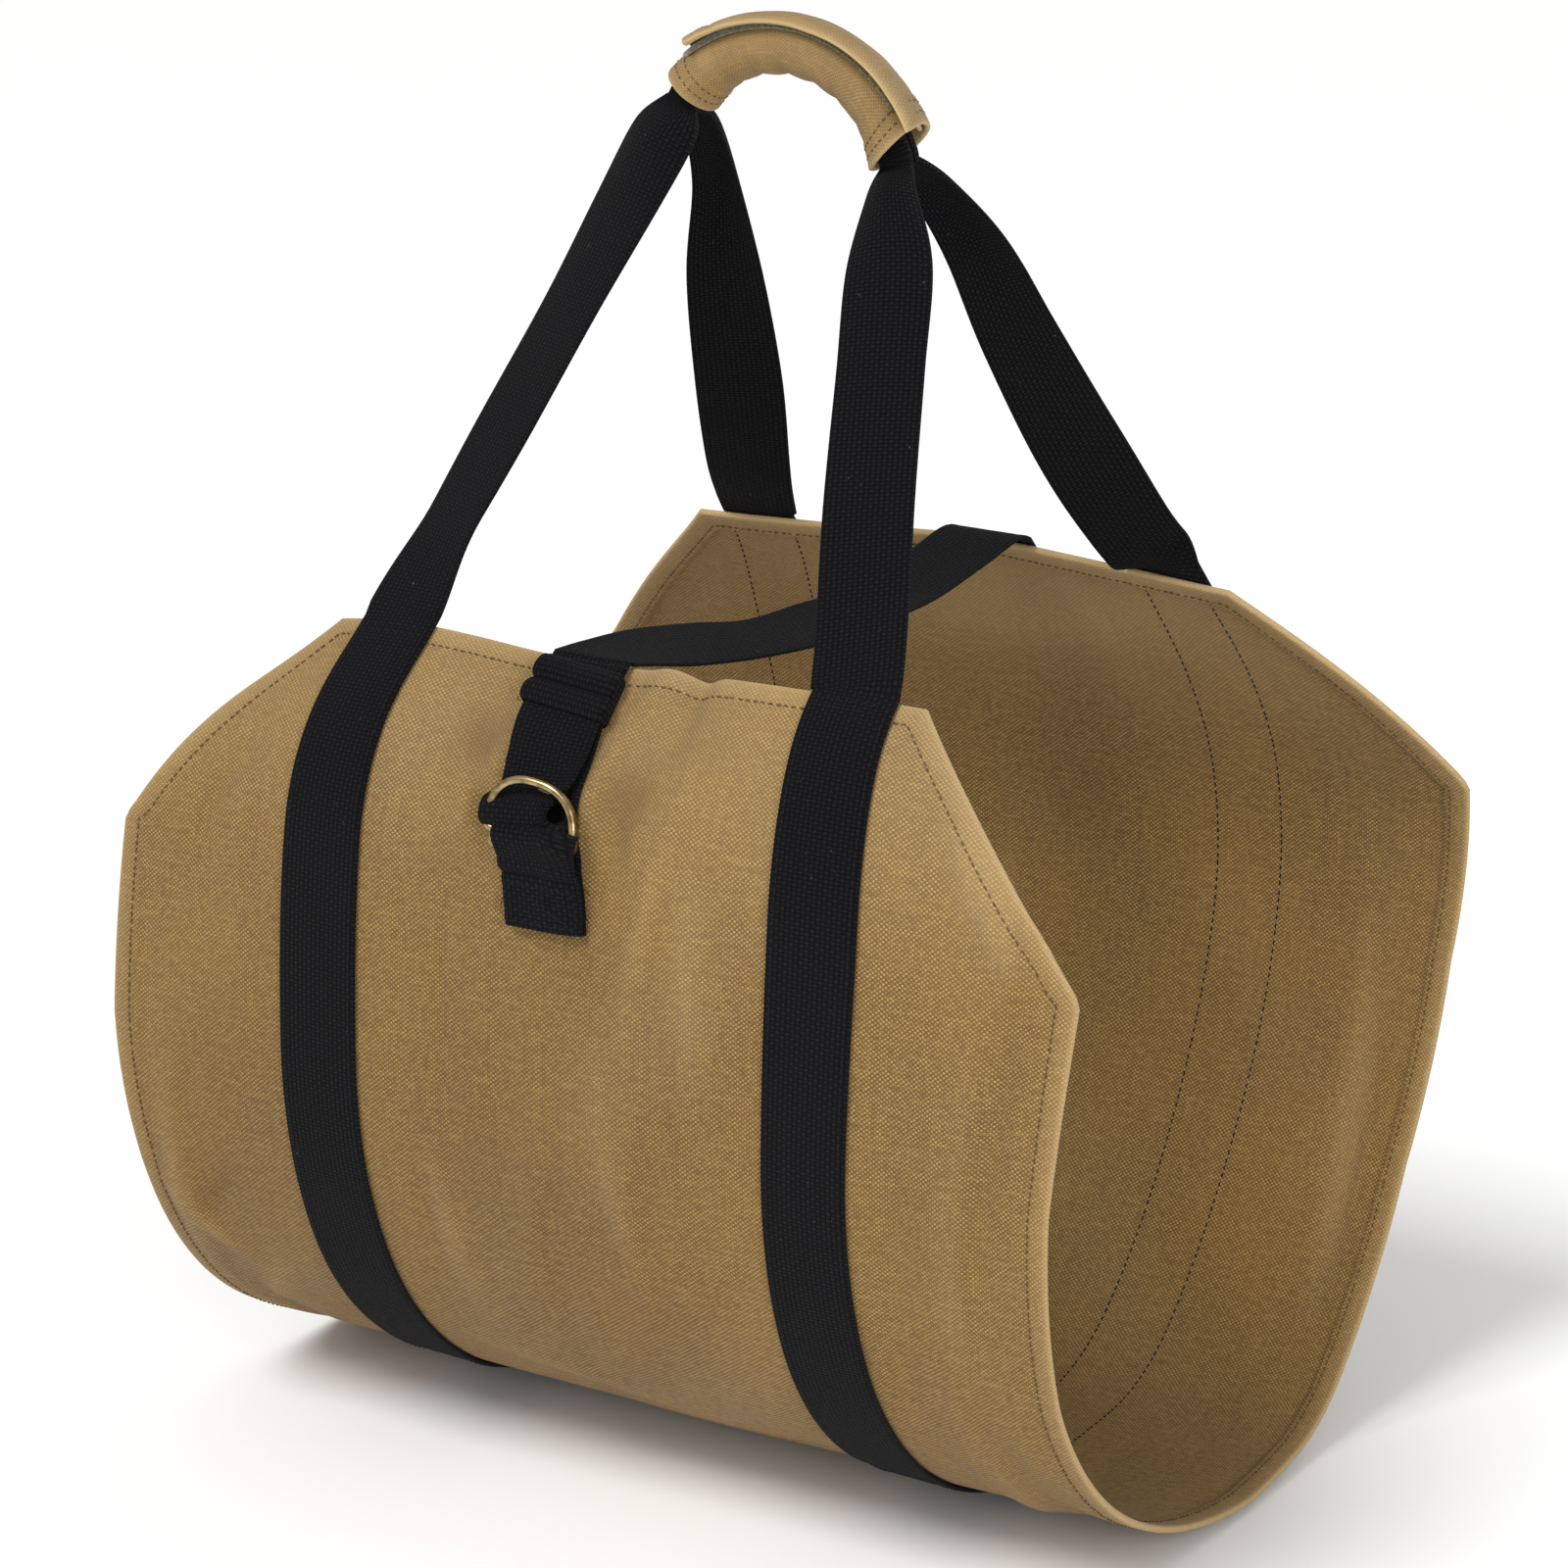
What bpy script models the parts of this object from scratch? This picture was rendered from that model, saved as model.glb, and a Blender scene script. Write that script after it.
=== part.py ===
# Canvas log carrier: a hemmed canvas sheet hanging in a U from two webbing
# handles, with a canvas grip round them and a webbing strap over the mouth.
# Metres, +Z up. The logs' direction is X and the front faces -Y.
# The origin is where a hand holds it: under the crown of the grip.

import math
from collections import namedtuple
from functools import lru_cache

import bmesh
import bpy
import numpy as np
from mathutils import Matrix, Vector

# Canvas sheet
SHEET_WIDTH = 0.450  # along the logs
TOP_WIDTH = 0.288  # straight top edge between two cut corners
CORNER_CUT = 0.103  # how far a cut corner runs down the side
HALF_LENGTH = 0.4825  # from a top edge to the middle of the bottom
CANVAS_WALL = 0.0016
HEM_WIDTH = 0.0115
HEM_EXTRA = 0.0016  # what the folded hem adds on the inner side
HEM_STEP = 0.0012  # width of the step beside the hem

# Webbing
WEBBING_WIDTH = 0.038
WEBBING_WALL = 0.0020
STRAP_SPACING = 0.229  # between the middles of the two sewn runs
BOTTOM_BACK = 0.015  # how far the bottom's middle lies behind the mouth's
FRONT_DRAW_LEFT = 0.0030  # how far the handles pull the sewn runs together
FRONT_DRAW_RIGHT = 0.0100
BACK_DRAW = 0.0130
DRAW_REACH = 0.060  # how far down that pull reaches
DRAW_FADE = 0.6  # how fast it fades outside the runs
SEAT_GAP = 0.0003  # between pieces that touch

# Grip
GRIP_CLEARANCE = 0.2130  # from the mouth up to the underside of the grip
GRIP_FORWARD = 0.010  # how far the grip hangs to the front of the middle
GRIP_ASIDE = 0.005  # and to the left of it
ARCH_RADIUS = 0.0555  # of the grip's middle line
ARCH_LEFT = 51.0  # degrees from the crown to the left end
ARCH_RIGHT = 70.0  # and to the right end
END_SLANT = 6.0  # degrees by which the right end is cut back on top, and runs on below
FLAP_SHORT = 15.0  # degrees by which the flap stops short of the left end
FLAP_ROOT = 260.0  # degrees round the wrap where it starts to
ARCH_LEAD = 6.0  # degrees by which the handles stay folded past an end
FOLDED_WIDTH = 0.0145  # a handle folded up inside the grip
FOLDED_WALL = 0.0042
FOLDED_GAP = 0.0009  # between the two folded handles
COVER_WALL = 0.0016
COVER_START = -38.0  # degrees in front of the top where the wrap begins
COVER_LIP = 408.0  # degrees where its flap ends, one turn later
FLAP_LIFT = 0.0026  # how far the flap's lip stands off at the middle
FLAP_LIFT_RIGHT = 0.0040  # and how much more at the right end
FLAP_CURL = 1.5  # 1 lifts it evenly from the top, more keeps it down and lifts the lip
RAMP_START = 180.0  # degrees where the wrap starts to grow towards its second layer
COVER_SWELL = 0.14  # how much wider its bore is at the ends, as a share
TAPE_WALL = 0.0010
TAPE_INSET = 6.0  # degrees between the tape and the wrap's two edges
TAPE_REACH = 0.84  # how far it runs to each end, as a share

# Closure
STRAP_MIDDLE = -0.015  # the closure's middle line at the front edge
TAB_LEAN = 0.17  # how far that line goes to the right over the tab, per length
LEAN_DOWN = 0.045  # down from the front edge to where it begins
BACK_MIDDLE = 0.020  # the strap's middle where it crosses the back edge
STRAP_TUCK = 0.060  # length sewn on the outside of the back panel
KEEPER_HEIGHT = 0.022
KEEPER_DOWN = 0.0175  # from the front edge to the middle of the keeper
KEEPER_WALL = 0.0014
RING_WIRE = 0.0036
RING_WIDTH = 0.0362  # inside
RING_HEIGHT = 0.0225  # from the middle of the bar to the middle of the arc
RING_BAR_DOWN = 0.082  # from the front edge to the rear ring's bar
TAB_WIDTH = 0.0345
TAB_LENGTH = 0.031  # from the rings' bars to the tab's lower edge

# The sheet's section, from the middle of the bottom to a top edge: how far
# along it is as a share of HALF_LENGTH, its slope there in degrees at the
# front and at the back, and how far the two ends draw in, as shares of half
# the sheet's width.
Bend = namedtuple("Bend", "along front back draw_left draw_right")
BENDS = (
    Bend(0.00, 0, 0, 0.020, 0.030),
    Bend(0.10, 12, 5, 0.020, 0.040),
    Bend(0.22, 29, 40, 0.020, 0.050),
    Bend(0.42, 63, 61, 0.015, 0.060),
    Bend(0.61, 87, 82, 0.012, 0.045),
    Bend(0.80, 95, 118, 0.045, 0.000),
    Bend(1.00, 139, 136, 0.045, 0.000),
)
# How much less deep the section is at the ends, as shares.
END_PINCH = {"left": 0.02, "right": 0.04}

# Dents and folds of the sheet. Positions across and half widths across are
# shares of SHEET_WIDTH, those down the front from its edge are shares of
# HALF_LENGTH, and depths are in CANVAS_WALL, inwards if negative.
Fold = namedtuple("Fold", "across down half_across half_down depth")
FOLDS = (
    Fold(-0.04, 0.00, 0.130, 0.120, -5.0),
    Fold(0.090, 0.00, 0.016, 0.070, -3.0),
    Fold(0.055, 0.00, 0.018, 0.060, 1.4),
    Fold(-0.104, 0.065, 0.026, 0.035, -1.6),
    Fold(0.052, 0.078, 0.028, 0.040, -1.8),
    Fold(0.340, 0.500, 0.030, 0.220, -1.2),
    Fold(0.400, 0.560, 0.030, 0.200, 1.0),
    Fold(-0.390, 0.000, 0.100, 0.110, -8.0),
    Fold(0.030, 2.000, 0.200, 0.110, 5.0),
    Fold(-0.250, 0.830, 0.090, 0.030, -1.0),
    Fold(0.080, 1.760, 0.120, 0.110, -2.0),
)

# Where the sheet's mesh is cut, as shares of the way across each stretch:
# from the left run to the closure, from there to the right run, and across a
# side margin.
LEFT_CUTS = (0.34, 0.68)
RIGHT_CUTS = (0.16, 0.30, 0.43, 0.55, 0.68, 0.84)
MARGIN_CUTS = (0.33, 0.68)

# A handle from the mouth to the grip's end, as shares of the way in height,
# sideways and forwards or back. Width and wall are shares of those of the
# webbing, cup is the middle's rise as a share of its width, and turn is in
# degrees about its own line.
Reach = namedtuple("Reach", "up side deep width wall cup turn")
HANDLES = {
    ("front", "left"): (
        Reach(0.12, 0.06, 0.15, 1.00, 1.0, 0.00, -24),
        Reach(0.35, 0.30, 0.38, 1.00, 1.0, 0.00, -20),
        Reach(0.60, 0.56, 0.63, 1.00, 1.0, 0.02, -20),
        Reach(0.80, 0.77, 0.82, 0.94, 1.0, 0.08, -14),
        Reach(0.94, 0.93, 0.94, 0.70, 1.3, 0.20, -6),
    ),
    ("front", "right"): (
        Reach(0.12, 0.15, 0.15, 1.00, 1.0, 0.00, -4),
        Reach(0.35, 0.40, 0.38, 0.96, 1.0, 0.00, -12),
        Reach(0.60, 0.64, 0.63, 0.90, 1.0, 0.04, -12),
        Reach(0.80, 0.81, 0.81, 0.80, 1.0, 0.12, -8),
        Reach(0.94, 0.96, 0.93, 0.46, 1.3, 0.30, -4),
    ),
    ("back", "left"): (
        Reach(0.12, 0.15, 0.15, 1.00, 1.0, 0.00, 14),
        Reach(0.35, 0.43, 0.38, 1.00, 1.0, 0.00, 22),
        Reach(0.60, 0.68, 0.61, 0.86, 1.0, 0.12, 22),
        Reach(0.80, 0.85, 0.76, 0.56, 1.1, 0.34, 14),
        Reach(0.94, 0.97, 0.91, 0.46, 1.5, 0.26, 6),
    ),
    ("back", "right"): (
        Reach(0.12, 0.16, 0.15, 1.00, 1.0, 0.00, -24),
        Reach(0.35, 0.37, 0.38, 0.96, 1.0, 0.00, -42),
        Reach(0.60, 0.53, 0.62, 0.84, 1.0, 0.08, -42),
        Reach(0.80, 0.66, 0.79, 0.70, 1.0, 0.20, -26),
        Reach(0.94, 0.86, 0.92, 0.52, 1.4, 0.26, -10),
    ),
}

# The strap's way over the mouth: back to front as a share of the mouth's
# depth, and its height over the mouth's level as a share of that depth.
Sag = namedtuple("Sag", "forward rise")
MOUTH_SAG = (
    Sag(0.05, 0.012),
    Sag(0.14, -0.022),
    Sag(0.28, -0.060),
    Sag(0.42, -0.050),
    Sag(0.56, -0.062),
    Sag(0.70, -0.044),
    Sag(0.84, -0.026),
    Sag(0.94, 0.002),
)

FRONT, BACK = -1, 1
LEFT, RIGHT = -1, 1

# The rings stand over the sheet with the strap's two layers round and under
# them. Heights are over the sheet's outer face, to the middle of the wire.
REAR_BAR_HEIGHT = 0.0060
REAR_ARC_HEIGHT = 0.0056
FRONT_BAR_SHIFT = 0.0030  # the front ring's bar lies this far up from the rear one
FRONT_BAR_LIFT = 0.0038  # and this far out
FRONT_ARC_HEIGHT = 0.0160
RING_ROUND = 2.4  # how square the ring's arc is: 2 is an ellipse
RING_CORNER = 0.0030
FOLD_LOOSE = 0.0075  # how far past the ring's arc it turns
TAB_GAP = 0.0009  # between the tab and the wires that it turns round
TAB_NECK = 0.0325  # the tab's width there
TAB_REST = 1.3  # its height just below the bars, in layers
TAB_TURN = (220, 180, 140, 100, 60)  # degrees round the front ring's bar
TAIL_END = 0.0040  # from the front edge to the strap's free end, under the keeper

# The strap from the keeper down to the ring's arc and back up: how far along
# that way, its height in layers over the lowest, and its width as a share.
Lie = namedtuple("Lie", "share layers width")
STRAP_DOWN = (Lie(0.5, 0.0, 1.0), Lie(0.8, 0.0, 0.9), Lie(1.0, 0.0, 0.79))
STRAP_UP = (Lie(1.0, 3.74, 0.79), Lie(0.72, 1.8, 0.9), Lie(0.35, 1.74, 1.0))

SECTION_STEPS = 240
CLOSURE_CUTS = 8  # rows of the sheet's mesh: down the front's cut corners
TAB_CUTS = 3  # from there to below the tab
LENGTH_CUTS = 14  # from there to the middle of the bottom, and on to the back's corners
CORNER_CUTS = 5  # down the back's cut corners
PROBE = 0.0015  # distance over which the sheet's slope is read
FOLD_CUTS = 6  # the other pieces' cuts
KEEPER_CUTS = 3
RING_CUTS = 18
SMOOTH_CUTS = 2
GRIP_CUTS = 6
COVER_CUTS = 12
WRAP_CUTS = 22
RING_SIDES = 3  # bevel resolution: ten sides round the wire


@lru_cache(maxsize=None)
def section(share, side):
    # Distance along, way out from the middle and height over the bottom, at
    # a place across given as a share of the half width.
    end = "left" if share < 0 else "right"
    slopes = [bend.front if side == FRONT else bend.back for bend in BENDS]
    steps = np.linspace(0, 1, SECTION_STEPS + 1)
    slope = np.radians(np.interp(steps, [bend.along for bend in BENDS], slopes))
    between = (slope[1:] + slope[:-1]) / 2
    piece = HALF_LENGTH / SECTION_STEPS
    out = np.concatenate([[0], np.cumsum(np.cos(between))]) * piece
    up = np.concatenate([[0], np.cumsum(np.sin(between))]) * piece
    return steps * HALF_LENGTH, out * (1 - END_PINCH[end] * share * share), up


MOUTH_LEVEL = -GRIP_CLEARANCE
BOTTOM_LEVEL = MOUTH_LEVEL - float(section(0.0, FRONT)[2][-1])
MOUTH_HALF = float(section(0.0, FRONT)[1][-1] + section(0.0, BACK)[1][-1]) / 2


def bare_sheet(across, along):
    side = FRONT if along < 0 else BACK
    far = min(abs(along), HALF_LENGTH)
    share = across / (SHEET_WIDTH / 2)
    steps, out, up = section(round(share, 6), side)
    beside = 2 * abs(across) / STRAP_SPACING
    pulled = math.copysign(min(beside, 1 + DRAW_FADE * (1 - beside)), across)
    front_draw = FRONT_DRAW_LEFT if across < 0 else FRONT_DRAW_RIGHT
    draw = front_draw if side == FRONT else BACK_DRAW
    draw *= pulled * math.exp(-(((HALF_LENGTH - far) / DRAW_REACH) ** 2))
    ends = [bend.draw_left if across < 0 else bend.draw_right for bend in BENDS]
    curl = share * share * np.interp(far / HALF_LENGTH, [bend.along for bend in BENDS], ends)
    return Vector((
        GRIP_ASIDE + across * (1 - float(curl)) - draw,
        GRIP_FORWARD + BOTTOM_BACK + side * float(np.interp(far, steps, out)),
        BOTTOM_LEVEL + float(np.interp(far, steps, up)),
    ))


def facing(surface, across, along):
    # Outward normal of a surface, read from four points round the place.
    low = max(along - PROBE, -HALF_LENGTH)
    high = min(along + PROBE, HALF_LENGTH)
    way_down = surface(across, high) - surface(across, low)
    way_across = surface(across + PROBE, along) - surface(across - PROBE, along)
    return way_down.cross(way_across).normalized()


def folded_sheet(across, along):
    down = 1 + along / HALF_LENGTH
    depth = 0
    for fold in FOLDS:
        sideways = (across / SHEET_WIDTH - fold.across) / fold.half_across
        lengthways = (down - fold.down) / fold.half_down
        depth += fold.depth * math.exp(-(sideways ** 2) - lengthways ** 2)
    lift = depth * CANVAS_WALL
    return bare_sheet(across, along) + facing(bare_sheet, across, along) * lift


@lru_cache(maxsize=None)
def sheet_frame(across, along):
    return folded_sheet(across, along), facing(folded_sheet, across, along)


def on_sheet(across, along, height):
    # A point at a height over the outer face of the canvas.
    point, normal = sheet_frame(across, along)
    return point + normal * (CANVAS_WALL / 2 + height)


def closure_line(down):
    # Where the closure's middle lies across, down from the front edge.
    return STRAP_MIDDLE + TAB_LEAN * max(0, down - LEAN_DOWN)


def on_front(aside, down, height):
    # The same as on_sheet, from the closure's own line and square to it.
    leaning = min(1, max(0, (down - LEAN_DOWN) / TAB_LENGTH))
    return on_sheet(closure_line(down) + aside, down - HALF_LENGTH - aside * TAB_LEAN * leaning,
                    height)


def edge_half_width(along):
    top = HALF_LENGTH - abs(along)
    cut = (SHEET_WIDTH - TOP_WIDTH) / 2
    return SHEET_WIDTH / 2 - cut * max(0, 1 - top / CORNER_CUT)


def hem_across(along):
    # The hem is measured square to its edge, which is slanted at a cut corner.
    if HALF_LENGTH - abs(along) >= CORNER_CUT:
        return HEM_WIDTH
    return HEM_WIDTH * math.hypot(1, (SHEET_WIDTH - TOP_WIDTH) / 2 / CORNER_CUT)


def smooth(rows, cuts, curved=3):
    # Rows of numbers and more between them: the first few columns follow a
    # Catmull-Rom curve and the rest go straight.
    rows = [np.array(row, float) for row in rows]
    padded = [2 * rows[0] - rows[1]] + rows + [2 * rows[-1] - rows[-2]]
    out = []
    for before, start, end, after in zip(padded, padded[1:], padded[2:], padded[3:]):
        for cut in range(cuts):
            t = cut / cuts
            bend = 2 * before - 5 * start + 4 * end - after
            twist = 3 * start - before - 3 * end + after
            row = start + 0.5 * ((end - before) * t + bend * t ** 2 + twist * t ** 3)
            row[curved:] = (start + (end - start) * t)[curved:]
            out.append(row)
    return out + [rows[-1]]


def material(name, colour, roughness, metallic=0.0):
    made = bpy.data.materials.new(name)
    made.use_nodes = True
    shader = made.node_tree.nodes["Principled BSDF"]
    shader.inputs["Base Color"].default_value = (*colour, 1)
    shader.inputs["Roughness"].default_value = roughness
    shader.inputs["Metallic"].default_value = metallic
    made.diffuse_color = (*colour, 1)
    return made


def new_object(name, data, finish):
    made = bpy.data.objects.new(name, data)
    bpy.context.scene.collection.objects.link(made)
    data.materials.append(finish)
    return made


def loft(name, rings, finish, closed=False):
    # A closed skin over rings of points. Each ring runs along one face of the
    # wall and back along the other, so that its ends are capped by pairs.
    mesh = bmesh.new()
    loops = [[mesh.verts.new(point) for point in ring] for ring in rings]
    count = len(loops[0])
    pairs = list(zip(loops, loops[1:]))
    if closed:
        pairs.append((loops[-1], loops[0]))
    for one, two in pairs:
        for i in range(count):
            j = (i + 1) % count
            mesh.faces.new((one[i], one[j], two[j], two[i]))
    if not closed:
        for loop in (loops[0], loops[-1]):
            for i in range(count // 2 - 1):
                mesh.faces.new((loop[i], loop[i + 1], loop[-2 - i], loop[-1 - i]))
    bmesh.ops.recalc_face_normals(mesh, faces=mesh.faces)
    data = bpy.data.meshes.new(name)
    mesh.to_mesh(data)
    mesh.free()
    data.shade_smooth()
    data.set_sharp_from_angle(angle=math.radians(40))
    return new_object(name, data, finish)


def sheet_rows():
    hem = HEM_WIDTH + HEM_STEP
    fine_end = RING_BAR_DOWN + TAB_LENGTH + HEM_WIDTH
    front = [0, HEM_WIDTH]
    front += list(np.linspace(hem, CORNER_CUT, CLOSURE_CUTS + 1))
    front += list(np.linspace(CORNER_CUT, fine_end, TAB_CUTS + 1))[1:]
    front += list(np.linspace(fine_end, HALF_LENGTH, LENGTH_CUTS + 1))[1:]
    back = list(np.linspace(HALF_LENGTH, CORNER_CUT, LENGTH_CUTS + 1))[1:]
    back += list(np.linspace(CORNER_CUT, hem, CORNER_CUTS + 1))[1:]
    back += [HEM_WIDTH, 0]
    return [down - HALF_LENGTH for down in front] + [HALF_LENGTH - up for up in back]


def sheet_columns(along):
    # Places across, each with whether it is on the hem.
    inner = (STRAP_SPACING - WEBBING_WIDTH) / 2
    outer = inner + WEBBING_WIDTH
    edge = edge_half_width(along)
    hem = max(edge - hem_across(along), outer + 2 * HEM_STEP)
    clear = hem - HEM_STEP
    margin = [clear + (outer - clear) * cut for cut in MARGIN_CUTS]
    side = [edge, hem, clear, *margin, outer, STRAP_SPACING / 2, inner]
    closure = closure_line(HALF_LENGTH + along)
    left, right = closure - WEBBING_WIDTH / 2, closure + WEBBING_WIDTH / 2
    places = [-place for place in side]
    places += [left - (left + inner) * (1 - cut) for cut in LEFT_CUTS] + [left, closure, right]
    places += [right + (inner - right) * cut for cut in RIGHT_CUTS] + side[::-1]
    return [(place, abs(place) >= hem) for place in places]


def canvas_panel(finish):
    rings = []
    for along in sheet_rows():
        columns = sheet_columns(along)
        end_hem = HALF_LENGTH - abs(along) <= HEM_WIDTH
        ring = [on_sheet(across, along, 0) for across, _ in columns]
        for across, side_hem in reversed(columns):
            wall = CANVAS_WALL + (HEM_EXTRA if end_hem or side_hem else 0)
            ring.append(on_sheet(across, along, -wall))
        rings.append(ring)
    return loft("canvas_panel", rings, finish)


# The grip's middle line is an arc in a plane facing the front. Its crown's
# underside is the origin.
COVER_BORE = math.hypot(FOLDED_WIDTH / 2, FOLDED_WALL + FOLDED_GAP / 2) + SEAT_GAP


def on_arch(degrees):
    # Point and outward direction of the grip's middle line.
    turn = math.radians(degrees)
    outward = Vector((math.sin(turn), 0, math.cos(turn)))
    centre = Vector((0, 0, COVER_BORE + COVER_WALL - ARCH_RADIUS))
    return centre + outward * ARCH_RADIUS, outward


def webbing_ring(centre, outer, normal, width, wall, cup):
    # Outer face from one edge to the other, then the inner face back.
    face = [centre + outer * (width / 2 * place) for place in (1, 0, -1)]
    face[1] = face[1] + normal * (cup * width)
    step = normal * (wall / 2)
    return [point + step for point in face] + [point - step for point in reversed(face)]


def sewn_rings(end, side):
    # From the middle of the bottom up to the mouth.
    middle = side * STRAP_SPACING / 2
    places = [middle + side * WEBBING_WIDTH / 2, middle, middle - side * WEBBING_WIDTH / 2]
    rows = sorted(abs(along) for along in sheet_rows() if along * end > 0)
    rings = []
    for along in [SEAT_GAP / 2] + rows:
        ring = [on_sheet(place, end * along, SEAT_GAP + WEBBING_WALL) for place in places]
        ring += [on_sheet(place, end * along, SEAT_GAP) for place in reversed(places)]
        rings.append(ring)
    return rings


def handle_rows(end, side, start):
    # Rows of place, width, wall, cup, turn and how far the webbing faces with
    # its handle, from the mouth to the grip.
    finish, _ = on_arch(ARCH_RIGHT + ARCH_LEAD if side > 0 else -ARCH_LEFT - ARCH_LEAD)
    finish = finish + Vector((0, end * (FOLDED_WALL + FOLDED_GAP) / 2, 0))
    way = finish - start
    names = ("front" if end == FRONT else "back", "left" if side < 0 else "right")
    rows = [(*start, 1, 1, 0, HANDLES[names][0].turn, 1)]
    for reach in HANDLES[names]:
        place = start + Vector((way.x * reach.side, way.y * reach.deep, way.z * reach.up))
        rows.append((*place, reach.width, reach.wall, reach.cup, reach.turn, reach.width))
    folded = (FOLDED_WIDTH / WEBBING_WIDTH, FOLDED_WALL / WEBBING_WALL, 0, 0, 0)
    return rows + [(*finish, *folded)]


def webbing_loop(name, end, finish):
    # One length: up the left run, through the grip and down the right run.
    left = sewn_rings(end, LEFT)
    right = sewn_rings(end, RIGHT)
    up = handle_rows(end, LEFT, sum(left[-1], Vector()) / len(left[-1]))
    down = handle_rows(end, RIGHT, sum(right[-1], Vector()) / len(right[-1]))
    aside = Vector((0, end * (FOLDED_WALL + FOLDED_GAP) / 2, 0))
    arch = []
    for degrees in np.linspace(-ARCH_LEFT, ARCH_RIGHT, GRIP_CUTS + 1):
        arch.append((*(on_arch(degrees)[0] + aside), *up[-1][3:]))
    path = smooth(up + arch + down[::-1], SMOOTH_CUTS)
    places = [Vector((row[0], end * max(end * row[1], aside.y * end), row[2])) for row in path]
    lean = Vector((0, up[-1][1] - up[0][1], up[-1][2] - up[0][2]))
    handle_facing = Vector((1, 0, 0)).cross(lean).normalized() * -end
    rings = []
    for i in range(1, len(path) - 1):
        width, wall, cup, turn, in_handle = path[i][3:]
        tangent = (places[i + 1] - places[i - 1]).normalized()
        level = Vector((0, end, 0)).lerp(handle_facing, in_handle)
        outer = (level.cross(tangent) * -end).normalized()
        normal = (tangent.cross(outer) * -end).normalized()
        spin = Matrix.Rotation(math.radians(turn), 3, tangent)
        rings.append(webbing_ring(places[i], spin @ outer, spin @ normal,
                                  width * WEBBING_WIDTH, wall * WEBBING_WALL, cup))
    return loft(name, left + rings + right[::-1], finish)


def cover_radius(degrees, along):
    # Inner radius of the wrap, which grows by a layer on its way to the flap.
    end = abs(along) ** 3
    bore = COVER_BORE * (1 + COVER_SWELL * end)
    turned = (degrees - RAMP_START) / (360 + COVER_START - RAMP_START)
    ramp = min(1, max(0, turned))
    layer = COVER_WALL + TAPE_WALL + 3 * SEAT_GAP
    lip = max(0, (degrees - 360) / (COVER_LIP - 360))
    lift = FLAP_LIFT + FLAP_LIFT_RIGHT * max(0, along)
    return bore + layer * ramp * ramp * (3 - 2 * ramp) + lift * lip ** FLAP_CURL


def on_wrap(degrees, along, radius):
    # A point on the wrap: how far round, from end to end, and its radius.
    angle = math.radians(degrees)
    flap = max(0, (degrees - FLAP_ROOT) / (COVER_LIP - FLAP_ROOT))
    left = ARCH_LEFT - FLAP_SHORT * flap
    right = ARCH_RIGHT - END_SLANT * math.cos(angle)
    centre, outward = on_arch((right - left + along * (right + left)) / 2)
    return centre + outward * (radius * math.cos(angle)) - Vector((0, radius * math.sin(angle), 0))


def grip_cover(finish):
    angles = list(np.linspace(COVER_START, COVER_LIP, WRAP_CUTS + 1))
    rings = []
    for along in np.linspace(-1, 1, COVER_CUTS + 1):
        ring = [on_wrap(a, along, cover_radius(a, along) + COVER_WALL) for a in angles]
        ring += [on_wrap(a, along, cover_radius(a, along)) for a in reversed(angles)]
        rings.append(ring)
    return loft("grip_cover", rings, finish)


def grip_tape(finish):
    # Lies on the wrap's first layer, under the flap.
    angles = list(np.linspace(COVER_START + TAPE_INSET, COVER_LIP - 360 - TAPE_INSET, 6))
    rings = []
    for along in np.linspace(-TAPE_REACH, TAPE_REACH, COVER_CUTS):
        low = cover_radius(0, along) + COVER_WALL + 2 * SEAT_GAP
        ring = [on_wrap(a, along, low + TAPE_WALL) for a in angles]
        ring += [on_wrap(a, along, low) for a in reversed(angles)]
        rings.append(ring)
    return loft("grip_tape", rings, finish)


# Heights over the canvas of the middles of the layers at the front.
LOW = SEAT_GAP + WEBBING_WALL / 2
LAYER = WEBBING_WALL + SEAT_GAP
KEEPER_MAIN = LOW + KEEPER_WALL + SEAT_GAP
ARC_DOWN = RING_BAR_DOWN - RING_HEIGHT
FOLD_RADIUS = REAR_ARC_HEIGHT - LOW


def ribbon_ring(down, height, slope, width):
    # One ring of a strap lying on the front, square to its own way there:
    # slope is its angle from straight down the sheet to straight out of it.
    shift_down = math.sin(slope) * WEBBING_WALL / 2
    shift_out = math.cos(slope) * WEBBING_WALL / 2
    asides = (-width / 2, 0, width / 2)
    ring = [on_front(aside, down - shift_down, height + shift_out) for aside in asides]
    ring += [on_front(aside, down + shift_down, height - shift_out) for aside in reversed(asides)]
    return ring


def ribbon_rings(rows, cuts):
    # Rows of how far down, height and width, smoothed.
    path = smooth(rows, cuts)
    rings = []
    for i, (down, height, width) in enumerate(path):
        before, after = path[max(0, i - 1)], path[min(len(path) - 1, i + 1)]
        slope = math.atan2(after[1] - before[1], after[0] - before[0])
        rings.append(ribbon_ring(down, height, slope, width))
    return rings


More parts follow.
